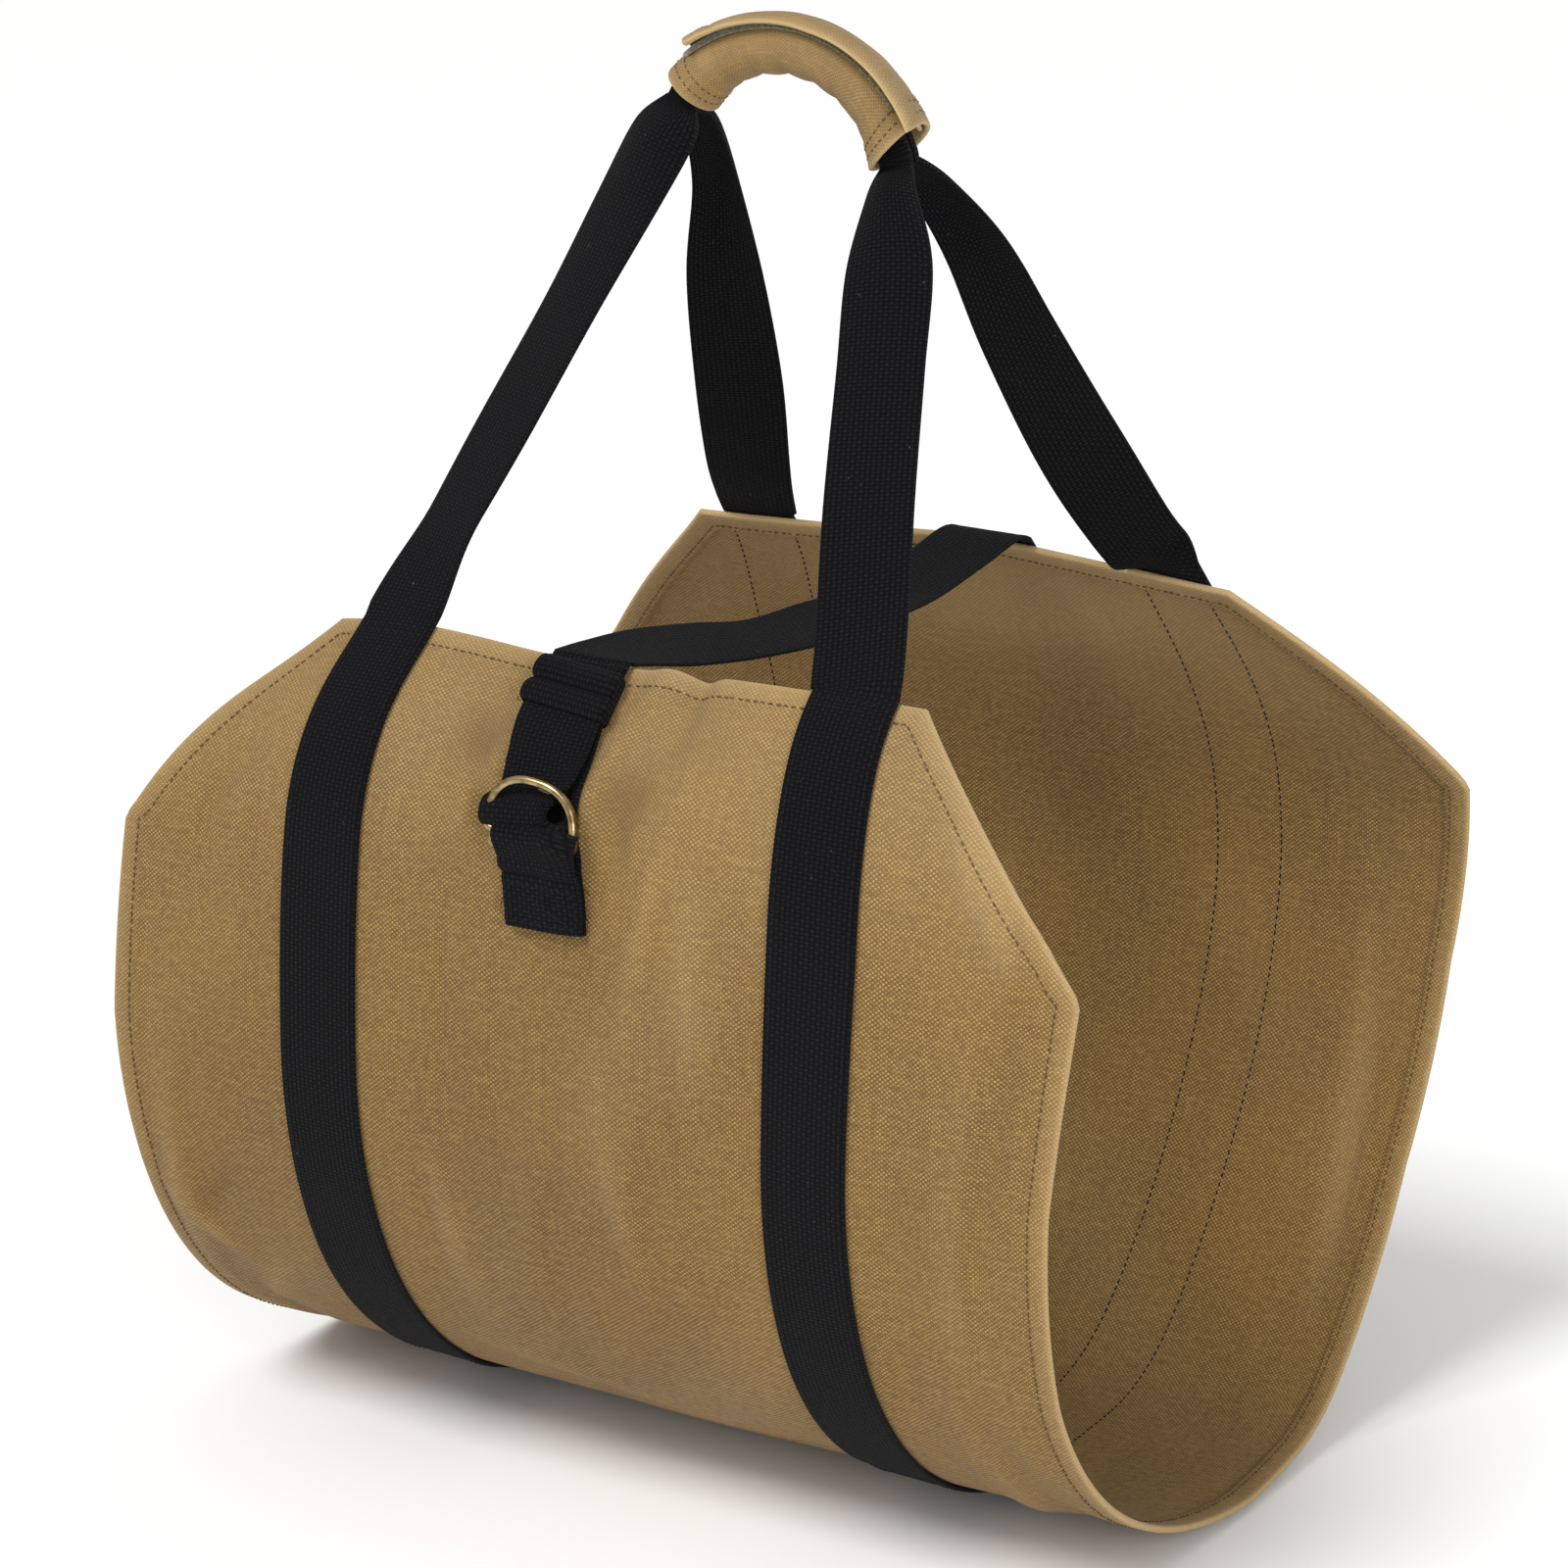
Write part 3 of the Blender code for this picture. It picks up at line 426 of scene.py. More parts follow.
def loopTape():
    # Olive nylon loop tape, knitted and brushed: the eye sees a short dull fuzz.
    made, tree, shader = startMaterial("brushedNylonLoopTape")
    coords = addNode(tree, "UVMap", {"uv_map": "UVMap"})
    loops = addNode(tree, "TexVoronoi", values={"Scale": 900, "Randomness": 1},
                    links={"Vector": coords.outputs[0]})
    fuzz = addNode(tree, "TexNoise", values={"Scale": 500, "Detail": 5},
                   links={"Vector": coords.outputs[0]})
    tone = addNode(tree, "Math", {"operation": "MULTIPLY"},
                   links={0: loops.outputs["Distance"], 1: fuzz.outputs["Fac"]})
    share = addNode(tree, "MapRange", values={"From Max": 0.45},
                    links={"Value": tone.outputs[0]})
    colour = addNode(tree, "Mix", {"data_type": "RGBA"},
                     {6: toLinear(tapeLook["deep"]), 7: toLinear(tapeLook["fuzz"])},
                     {"Factor": share.outputs[0]})
    finishShader(tree, shader, colour.outputs[2], tone.outputs[0], tapeLook["bump"],
                 {"Roughness": tapeLook["roughness"], "Sheen Weight": tapeLook["sheen"]})
    return made


brassLook = {"patina": "6B5B3A", "rubbed": "B7A075", "dull": 0.34, "bright": 0.24,
             "bump": (0.15, 0.0001)}


def antiqueBrass():
    # Welded steel wire, brass plated, darkened and rubbed back. The eye sees a warm
    # dark metal, brighter where straps rub it, with fine draw lines.
    made, tree, shader = startMaterial("antiqueBrassPlate")
    coords = addNode(tree, "TexCoord")
    patina = addNode(tree, "TexNoise", values={"Scale": 160, "Detail": 5},
                     links={"Vector": coords.outputs["Object"]})
    share = addNode(tree, "MapRange", values={"From Min": 0.38, "From Max": 0.62},
                    links={"Value": patina.outputs["Fac"]})
    colour = addNode(tree, "Mix", {"data_type": "RGBA"},
                     {6: toLinear(brassLook["patina"]), 7: toLinear(brassLook["rubbed"])},
                     {"Factor": share.outputs[0]})
    rough = addNode(tree, "MapRange",
                    values={"To Min": brassLook["dull"], "To Max": brassLook["bright"]},
                    links={"Value": share.outputs[0]})
    tree.links.new(rough.outputs[0], shader.inputs["Roughness"])
    lines = addNode(tree, "TexNoise", values={"Scale": 900, "Detail": 2},
                    links={"Vector": coords.outputs["Object"]})
    finishShader(tree, shader, colour.outputs[2], lines.outputs["Fac"], brassLook["bump"],
                 {"Metallic": 1.0})
    return made


duck = waxedDuck("waxedCottonDuck", 1, canvasLook["contrast"])
# the same cloth, drawn less coarse where it is seen from near
gripDuck = waxedDuck("waxedCottonDuckOfGrip", canvasLook["gripFiner"],
                     canvasLook["gripContrast"])
webbing = cottonWebbing()
tape = loopTape()
brass = antiqueBrass()
darkThread = spunThread("spunPolyesterThreadBrown", threadLook["brown"])
blackThread = spunThread("spunPolyesterThreadBlack", threadLook["black"])
print("materials made")

sheet = {
    "width": 0.450, "topWidth": 0.288, "cornerCut": 0.103, "halfLength": 0.4825,
    "wall": 0.0016, "hem": 0.0115, "hemExtra": 0.0016, "hemStep": 0.0012,
    "stitchIn": 0.0090, "pucker": 0.00022, "puckerPitch": 0.013, "puckerReach": 0.004,
    "groove": 0.00035, "grooveReach": 0.0010, "ripple": 0.13,
    # how much paler edges, fold crests and the top are painted: wear and painted highlight at
    # edges and crests, painted light from above at the top
    "rubbed": 0.85, "edgeWearAndHighlightReach": 0.0016, "crestWearAndHighlight": 0.12, "paintedTopLight": 0.20,
}
hemStitch = {"length": 0.0024, "radius": 0.00032, "pitch": 0.0034}
# how the sheet hangs under the grip
hang = {"mouthDrop": 0.2130, "forward": 0.010, "aside": 0.005, "bottomBack": 0.015}
strap = {"width": 0.038, "wall": 0.0020, "spacing": 0.229, "seat": 0.0003}
pull = {"left": 0.0030, "right": 0.0100, "back": 0.0130, "reach": 0.060, "fade": 0.6}
# along as a share of half the length, slope in degrees at the front and the back,
# and how far the left and right ends draw in
bends = np.array((
    (0.00, 0, 0, 0.020, 0.030),
    (0.10, 12, 5, 0.020, 0.040),
    (0.22, 29, 40, 0.020, 0.050),
    (0.42, 63, 61, 0.015, 0.060),
    (0.61, 87, 82, 0.012, 0.045),
    (0.80, 95, 118, 0.045, 0.000),
    (1.00, 139, 136, 0.045, 0.000),
))
endPinch = (0.02, 0.04)

# across and half width as shares of the width, down and half height as shares of half
# the length, depth in canvas walls, and a turn in degrees
folds = (
    (-0.04, 0.00, 0.130, 0.120, -5.0, 0),
    (0.090, 0.00, 0.016, 0.070, -3.0, 0),
    (0.055, 0.00, 0.018, 0.060, 1.4, 0),
    (-0.104, 0.065, 0.026, 0.035, -1.6, 0),
    (0.052, 0.078, 0.028, 0.040, -1.8, 0),
    (0.340, 0.500, 0.030, 0.220, -1.2, 0),
    (0.400, 0.560, 0.030, 0.200, 1.0, 0),
    (-0.390, 0.000, 0.100, 0.110, -8.0, 0),
    (0.030, 2.000, 0.200, 0.110, 5.0, 0),
    (-0.250, 0.830, 0.090, 0.030, -1.0, 0),
    (0.080, 1.760, 0.120, 0.110, -2.0, 0),
)
# finer creases that only the dressed sheet has
creases = (
    (0.440, 0.330, 0.014, 0.160, -0.9, 6),
    (0.420, 0.700, 0.020, 0.140, -0.8, -8),
    (0.370, 0.860, 0.016, 0.110, 0.7, 10),
    (-0.455, 0.560, 0.014, 0.120, 0.8, 4),
    (-0.420, 0.760, 0.022, 0.090, -0.9, -12),
    (-0.060, 0.700, 0.090, 0.016, 0.5, 14),
    (0.110, 0.780, 0.120, 0.018, -0.5, -6),
    (-0.120, 0.330, 0.020, 0.120, -0.5, 8),
    (0.135, 0.250, 0.018, 0.100, 0.5, -6),
    (-0.100, 0.130, 0.012, 0.050, 0.7, 20),
    (0.040, 0.140, 0.012, 0.050, -0.6, -22),
    (0.410, 0.150, 0.014, 0.060, 0.9, -30),
    (-0.380, 0.170, 0.014, 0.060, -0.9, 28),
    (0.420, 1.450, 0.020, 0.160, 0.9, 5),
    (-0.420, 1.400, 0.018, 0.150, -0.8, -5),
    (0.000, 1.500, 0.018, 0.200, 0.5, 8),
    (-0.110, 1.650, 0.016, 0.150, -0.6, -7),
    (-0.098, 0.130, 0.010, 0.055, -0.9, -18),
    (0.020, 0.110, 0.010, 0.075, 1.0, 12),
    (0.052, 0.150, 0.012, 0.080, -0.8, 16),
    (0.090, 0.200, 0.012, 0.090, 0.6, 10),
    (-0.410, 0.560, 0.012, 0.045, -0.8, 42),
    (-0.440, 0.600, 0.012, 0.045, 0.8, -38),
    (-0.390, 0.680, 0.012, 0.050, 0.7, 35),
    (-0.130, 0.520, 0.014, 0.090, 0.5, -5),
    (-0.020, 0.560, 0.016, 0.110, -0.5, 6),
    (0.060, 0.470, 0.014, 0.100, 0.5, -8),
)

creaseShare = 2.2  # of the depths just given
folds += tuple((*row[:4], row[4] * creaseShare, row[5]) for row in creases)

sectionSteps = 240


def sectionCurve(column):
    steps = np.linspace(0, 1, sectionSteps + 1)
    slope = np.radians(np.interp(steps, bends[:, 0], bends[:, column]))
    between = (slope[1:] + slope[:-1]) / 2
    piece = sheet["halfLength"] / sectionSteps
    out = np.concatenate([[0], np.cumsum(np.cos(between))]) * piece
    up = np.concatenate([[0], np.cumsum(np.sin(between))]) * piece
    return out, up


frontCurve, backCurve = sectionCurve(1), sectionCurve(2)
stepPlaces = np.linspace(0, sheet["halfLength"], sectionSteps + 1)
mouthLevel = -hang["mouthDrop"]
bottomLevel = mouthLevel - frontCurve[1][-1]
mouthHalf = (frontCurve[0][-1] + backCurve[0][-1]) / 2


def bareSheet(across, along):
    front = along < 0
    far = np.minimum(np.abs(along), sheet["halfLength"])
    share = across / (sheet["width"] / 2)
    out = np.where(front, np.interp(far, stepPlaces, frontCurve[0]),
                   np.interp(far, stepPlaces, backCurve[0]))
    up = np.where(front, np.interp(far, stepPlaces, frontCurve[1]),
                  np.interp(far, stepPlaces, backCurve[1]))
    out = out * (1 - np.where(share < 0, *endPinch) * share * share)
    beside = 2 * np.abs(across) / strap["spacing"]
    pulled = np.copysign(np.minimum(beside, 1 + pull["fade"] * (1 - beside)), across)
    draw = np.where(front, np.where(across < 0, pull["left"], pull["right"]), pull["back"])
    draw = draw * pulled * np.exp(-((sheet["halfLength"] - far) / pull["reach"]) ** 2)
    nearness = far / sheet["halfLength"]
    ends = np.where(across < 0, np.interp(nearness, bends[:, 0], bends[:, 3]),
                    np.interp(nearness, bends[:, 0], bends[:, 4]))
    return np.stack([
        hang["aside"] + across * (1 - share * share * ends) - draw,
        hang["forward"] + hang["bottomBack"] + np.where(front, -1, 1) * out,
        bottomLevel + up,
    ], axis=-1)


probe = 0.0015


def facing(surface, across, along):
    # outward normal, read from four points round the place
    low = np.maximum(along - probe, -sheet["halfLength"])
    high = np.minimum(along + probe, sheet["halfLength"])
    wayDown = surface(across, high) - surface(across, low)
    wayAcross = surface(across + probe, along) - surface(across - probe, along)
    return unit(np.cross(wayDown, wayAcross))


rippleWaves = [(dice.uniform(18, 60), dice.uniform(12, 40), dice.uniform(0, 6.3),
                dice.uniform(0.4, 1.0)) for _ in range(9)]


def foldDepth(across, along):
    down = 1 + along / sheet["halfLength"]
    depth = 0
    for foldAcross, foldDown, halfAcross, halfDown, deep, turn in folds:
        # the turn works in metres, so both ways are brought to metres first
        x = across - foldAcross * sheet["width"]
        y = (down - foldDown) * sheet["halfLength"]
        c, s = math.cos(math.radians(turn)), math.sin(math.radians(turn))
        sideways = (x * c + y * s) / (halfAcross * sheet["width"])
        lengthways = (y * c - x * s) / (halfDown * sheet["halfLength"])
        depth = depth + deep * np.exp(-sideways ** 2 - lengthways ** 2)
    ripple = sum(size * np.sin(kx * across + ky * along + phase)
                 for kx, ky, phase, size in rippleWaves)
    return (depth + sheet["ripple"] * ripple) * sheet["wall"]


def foldedSheet(across, along):
    lift = foldDepth(across, along)[..., None]
    return bareSheet(across, along) + facing(bareSheet, across, along) * lift


def onSheet(across, along, height):
    # a point at a height over the outer face of the canvas
    across, along, height = np.broadcast_arrays(
        *(np.asarray(value, float) for value in (across, along, height)))
    normal = facing(foldedSheet, across, along)
    return foldedSheet(across, along) + normal * (sheet["wall"] / 2 + height)[..., None]


cutWidth = (sheet["width"] - sheet["topWidth"]) / 2
cutFactor = math.hypot(1, cutWidth / sheet["cornerCut"])


def edgeHalfWidth(along):
    top = sheet["halfLength"] - np.abs(along)
    return sheet["width"] / 2 - cutWidth * np.maximum(0, 1 - top / sheet["cornerCut"])


def sideFactor(along):
    # a slanted edge's width across for each unit square to it
    return np.where(sheet["halfLength"] - np.abs(along) < sheet["cornerCut"], cutFactor, 1)


interiorColumns, interiorRows = 154, 224
# dull marks on the wax, painted darker: across, down, reach as shares of the width, and strength.
# The two strongest, either side of the closure strap, are partly stain and partly painted shade
# where the cloth puckers.
soilAndShadeSpots = (
    (-0.110, 0.090, 0.028, 0.60), (0.050, 0.115, 0.026, 0.65), (-0.110, 0.190, 0.035, 0.22),
    (0.030, 0.260, 0.050, 0.16), (-0.060, 0.480, 0.080, 0.12), (0.070, 0.600, 0.070, 0.12),
    (-0.020, 0.420, 0.170, 0.20), (-0.400, 0.550, 0.130, 0.18),
    (-0.360, 0.400, 0.060, 0.15), (0.380, 0.420, 0.060, 0.12), (0.120, 0.060, 0.030, 0.25),
    (0.020, 0.800, 0.090, 0.12), (-0.300, 0.700, 0.070, 0.14), (0.300, 1.500, 0.100, 0.14),
    (-0.200, 1.450, 0.100, 0.12), (0.050, 1.700, 0.060, 0.14), (0.360, 1.800, 0.050, 0.14),
)
hemPlaces = (0, 0.0004, 0.0011, 0.0024, 0.0055, 0.0080, 0.0090, 0.0100, 0.0115, 0.0127)


def makeCanvas():
    # One closed skin: the outer face, the inner face with its folded hem, and round edges.
    half = sheet["halfLength"]
    inner = half - hemPlaces[-1]
    rows = [-half + place for place in hemPlaces]
    rows += list(np.linspace(-inner, inner, interiorRows + 1))[1:-1]
    rows += [half - place for place in reversed(hemPlaces)]
    rows = np.array(rows)
    edges, factors = edgeHalfWidth(rows), sideFactor(rows)
    columns = []
    for edge, factor in zip(edges, factors):
        side = [edge - place * factor for place in hemPlaces]
        middle = list(np.linspace(-side[-1], side[-1], interiorColumns + 1))[1:-1]
        columns.append([-x for x in side] + middle + side[::-1])
    across = np.array(columns)
    along = np.broadcast_to(rows[:, None], across.shape)
    fromSide = (edges[:, None] - np.abs(across)) / factors[:, None]
    fromEdge = np.minimum(fromSide, half - np.abs(along))
    fromEdge = np.maximum(fromEdge, 0)
    # the hem draws up a little along its stitches
    pucker = sheet["pucker"] * np.sin((across + along) * 2 * math.pi / sheet["puckerPitch"])
    fromStitch = fromEdge - sheet["stitchIn"]
    pucker = pucker * np.exp(-(fromStitch / sheet["puckerReach"]) ** 2)
    groove = -sheet["groove"] * np.exp(-(fromStitch / sheet["grooveReach"]) ** 2)
    extra = sheet["hemExtra"] * (1 - smoothStep((fromEdge - sheet["hem"]) / sheet["hemStep"]))
    thick = sheet["wall"] + extra
    radius = (sheet["wall"] + sheet["hemExtra"]) / 2
    inset = radius - np.sqrt(np.maximum(0, radius ** 2 - np.maximum(0, radius - fromEdge) ** 2))
    outer = onSheet(across, along, pucker + groove - inset)
    innerFace = onSheet(across, along, pucker - groove * 0.6 - thick + inset)
    # paler where the edge folds and on the crests of the folds: partly rubbed wear, partly
    # painted highlight where they catch the light
    wearAndPaintedLight = sheet["rubbed"] * np.exp(-fromEdge / sheet["edgeWearAndHighlightReach"])
    wearAndPaintedLight = wearAndPaintedLight + sheet["crestWearAndHighlight"] * np.exp(-((fromEdge - 0.006) / 0.004) ** 2)
    crest = np.clip(foldDepth(across, along) / sheet["wall"], 0, 1.5) * sheet["crestWearAndHighlight"]
    # paler towards both top edges, where the sheet faces up: painted light from above
    paler = sheet["paintedTopLight"] * smoothStep(1.25 - np.abs(half - np.abs(along)) / 0.10)
    wearAndPaintedLight = np.clip(wearAndPaintedLight + crest + paler, 0, 1)
    # darker in the hollows of the folds: painted shade
    soilAndShade = np.clip(-foldDepth(across, along) / sheet["wall"] - 0.5, 0, 3) * 0.05
    # dark spots: stains, and painted shade beside the closure strap where the cloth puckers
    for x, y, reach, share in soilAndShadeSpots:
        apart = np.hypot(across / sheet["width"] - x,
                         ((1 + along / half) - y) * half / sheet["width"])
        soilAndShade = soilAndShade + share * np.exp(-(apart / reach) ** 2)
    soilAndShade = np.clip(soilAndShade, 0, 1)
    return hemmedSkin("canvasSheet", outer, innerFace, np.stack([across, along], axis=-1),
                      wearAndPaintedLight, soilAndShade, duck)


canvas = place(makeCanvas(), "waxed_canvas", "canvas_panel")
print("canvas sheet made")


stitchJitter, stitchSides = 0.12, 5


def stitchRow(path, normals, kind):
    # Places along a path, evenly spaced: middles, ways, normals and sizes of the stitches.
    pitch = kind["pitch"]
    steps = np.linalg.norm(np.diff(path, axis=0), axis=1)
    way = np.concatenate([[0], np.cumsum(steps)])
    count = max(2, int(way[-1] / pitch))
    places = np.linspace(pitch / 2, way[-1] - pitch / 2, count)
    places = places + dice.uniform(-stitchJitter, stitchJitter, count) * pitch

    def at(values, where):
        return np.stack([np.interp(where, way, values[:, k]) for k in range(3)], axis=-1)

    middles = at(path, places)
    ways = unit(at(path, places + pitch / 3) - at(path, places - pitch / 3))
    return middles, ways, unit(at(normals, places)), kind["length"], kind["radius"]


def makeStitches(name, rows, finish):
    # Each stitch is a short spindle whose ends go down into the cloth.
    sides = stitchSides
    points, faces = [], []
    for middles, ways, normals, length, radius in rows:
        for middle, way, normal in zip(middles, ways, normals):
            cross = np.cross(way, normal)
            base = len(points)
            points.append(middle - way * length / 2 - normal * radius * 0.9)
            for share in (-0.27, 0.27):
                for k in range(sides):
                    a = 2 * math.pi * k / sides
                    points.append(middle + way * (share * length)
                                  + (cross * math.cos(a) + normal * math.sin(a)) * radius)
            points.append(middle + way * length / 2 - normal * radius * 0.9)
            end = base + 1 + 2 * sides
            for k in range(sides):
                k2 = (k + 1) % sides
                faces.append((base, base + 1 + k2, base + 1 + k))
                faces.append((base + 1 + k, base + 1 + k2, base + 1 + sides + k2,
                              base + 1 + sides + k))
                faces.append((end, base + 1 + sides + k, base + 1 + sides + k2))
    points = np.array(points)
    return meshObject(name, points, outward(points, faces), finish)


def sheetPath(across, along, height):
    across, along = np.asarray(across, float), np.asarray(along, float)
    normals = facing(foldedSheet, across, along)
    if height < 0:
        normals = -normals
    return onSheet(across, along, height), normals


def hemRows(height):
    d, half = sheet["stitchIn"], sheet["halfLength"]
    along = np.linspace(-half + d, half - d, 300)
    rows = []
    for side in (-1, 1):
        across = side * (edgeHalfWidth(along) - d * sideFactor(along))
        rows.append(stitchRow(*sheetPath(across, along, height), hemStitch))
    reach = edgeHalfWidth(half - d) - d * cutFactor
    across = np.linspace(-reach, reach, 100)
    for end in (-1, 1):
        along = np.full_like(across, end * (half - d))
        rows.append(stitchRow(*sheetPath(across, along, height), hemStitch))
    return rows


stitchSink = 0.00012
place(makeStitches(
    "hemStitches",
    hemRows(stitchSink) + hemRows(-sheet["wall"] - sheet["hemExtra"] - stitchSink),
    darkThread), "waxed_canvas")
print("hem stitches made")

# a strap's section: place across from -1 to 1, and through its wall from -1 to 1
strapSection = np.array((
    (-1.00, 0.00), (-0.985, 0.70), (-0.93, 1.00), (-0.72, 0.90), (-0.40, 1.00),
    (0.00, 0.94), (0.40, 1.00), (0.72, 0.90), (0.93, 1.00), (0.985, 0.70),
    (1.00, 0.00), (0.985, -0.70), (0.93, -1.00), (0.50, -0.95), (0.00, -1.00),
    (-0.50, -0.95), (-0.93, -1.00), (-0.985, -0.70),
))
rightEdge = 10  # which point of the section that is
sectionAcross = strapSection[:, 0] * strap["width"] / 2


def freeRings(centres, sides, normals, widths, walls, cups):
    s, t = strapSection[:, 0], strapSection[:, 1]
    across = sides[:, None] * (s * widths[:, None] / 2)[..., None]
    through = t * walls[:, None] / 2 + (cups * widths)[:, None] * (1 - s * s)
    return centres[:, None] + across + normals[:, None] * through[..., None]


# a handle from the mouth to the grip, as shares of the way up, sideways and deep;
# width, wall and cup as shares, and a turn in degrees
handles = {
    (-1, -1): ((0.12, 0.06, 0.15, 1.00, 1.0, 0.00, -24), (0.35, 0.30, 0.38, 1.00, 1.0, 0.00, -20),
               (0.60, 0.56, 0.63, 1.00, 1.0, 0.02, -20), (0.80, 0.77, 0.82, 1.00, 1.0, 0.08, -14),
               (0.94, 0.93, 0.94, 0.88, 1.2, 0.20, -6)),
    (-1, 1): ((0.12, 0.15, 0.15, 1.00, 1.0, 0.00, -4), (0.35, 0.40, 0.38, 0.96, 1.0, 0.00, -12),
              (0.60, 0.64, 0.63, 0.94, 1.0, 0.04, -12), (0.80, 0.81, 0.81, 0.93, 1.0, 0.12, -10),
              (0.94, 0.95, 0.93, 0.58, 1.3, 0.28, -6)),
    (1, -1): ((0.12, 0.15, 0.15, 1.00, 1.0, 0.00, 14), (0.35, 0.43, 0.38, 1.00, 1.0, 0.00, 22),
              (0.60, 0.68, 0.61, 0.86, 1.0, 0.12, 22), (0.80, 0.85, 0.76, 0.56, 1.1, 0.34, 14),
              (0.94, 0.97, 0.91, 0.46, 1.5, 0.26, 6)),
    (1, 1): ((0.12, 0.16, 0.15, 1.00, 1.0, 0.00, -24), (0.35, 0.37, 0.38, 0.96, 1.0, 0.00, -42),
             (0.60, 0.53, 0.62, 0.84, 1.0, 0.08, -42), (0.80, 0.66, 0.79, 0.70, 1.0, 0.20, -26),
             (0.94, 0.86, 0.92, 0.52, 1.4, 0.26, -10)),
}

grip = {
    "arch": 0.0555, "left": 51.0, "right": 70.0, "slant": 6.0, "flapShort": 15.0,
    "flapRoot": 260.0, "lead": 6.0, "foldedWidth": 0.0145, "foldedWall": 0.0042,
    "foldedGap": 0.0009, "wall": 0.0016, "start": -38.0, "lip": 408.0, "lift": 0.0026,
    "liftRight": 0.0100, "curl": 1.3, "ramp": 180.0, "swell": 0.14,
    "tapeWall": 0.0010, "tapeInset": 6.0, "tapeReach": 0.84,
    "endHem": 0.0007, "endHemWidth": 0.0110, "lipHem": 0.0006, "lipHemWidth": 0.0070,
    "hemStep": 0.0015, "creaseUnit": 0.0007, "stitchRows": (0.0050, 0.0095),
    "lipStitchIn": 0.0045, "groove": 0.0003, "grooveReach": 0.0008,
}
gripStitch = {"length": 0.0022, "radius": 0.00032, "pitch": 0.0030}
# half the length of the grip's middle line
gripHalfArc = 0.5 * math.radians(grip["left"] + grip["right"]) * grip["arch"]
coverBore = math.hypot(grip["foldedWidth"] / 2,
                       grip["foldedWall"] + grip["foldedGap"] / 2) + strap["seat"]


def onArch(degrees):
    # point and outward way of the grip's middle line
    turn = np.radians(np.asarray(degrees, float))
    out = np.stack([np.sin(turn), np.zeros_like(turn), np.cos(turn)], axis=-1)
    centre = np.array([0, 0, coverBore + grip["wall"] - grip["arch"]])
    return centre + out * grip["arch"], out


# how far each sewn run leans in at the mouth: front left, front right, back left, back right
leanIn = {(-1, -1): 0.0045, (-1, 1): 0.0, (1, -1): 0.0, (1, 1): 0.0}


def runMiddle(end, side, along):
    lean = leanIn[end, side] * np.exp(-((sheet["halfLength"] - np.abs(along)) / 0.032) ** 2)
    return side * (strap["spacing"] / 2 - lean)


def sewnRings(end, side, count=170):
    along = np.linspace(strap["seat"] / 2, sheet["halfLength"], count)[:, None]
    across = runMiddle(end, side, along) + side * strapSection[:, 0] * strap["width"] / 2
    height = strap["seat"] + strap["wall"] * (strapSection[:, 1] + 1) / 2
    return onSheet(across, end * along, height[None, :])


def handleRows(end, side, start):
    degrees = grip["right"] + grip["lead"] if side > 0 else -grip["left"] - grip["lead"]
    aside = end * (grip["foldedWall"] + grip["foldedGap"]) / 2
    finish = onArch(degrees)[0] + np.array([0, aside, 0])
    way = finish - start
    reaches = handles[end, side]
    rows = [(*start, 1, 1, 0, reaches[0][6], 1)]
    for up, aside, deep, width, wall, cup, turn in reaches:
        rows.append((start[0] + way[0] * aside, start[1] + way[1] * deep, start[2] + way[2] * up,
                     width, wall, cup, turn, width))
    folded = (grip["foldedWidth"] / strap["width"], grip["foldedWall"] / strap["wall"], 0, 0, 0)
    return rows + [(*finish, *folded)]


def turned(vectors, axes, angles):
    # turns each vector round its unit axis
    c, s = np.cos(angles)[:, None], np.sin(angles)[:, None]
    dots = (vectors * axes).sum(axis=-1, keepdims=True)
    return vectors * c + np.cross(axes, vectors) * s + axes * dots * (1 - c)


handleCuts = 12
# over which each handle turns from the sheet's facing to its own
blendLength = {(-1, -1): 0.050, (-1, 1): 0.050, (1, -1): 0.040, (1, 1): 0.018}


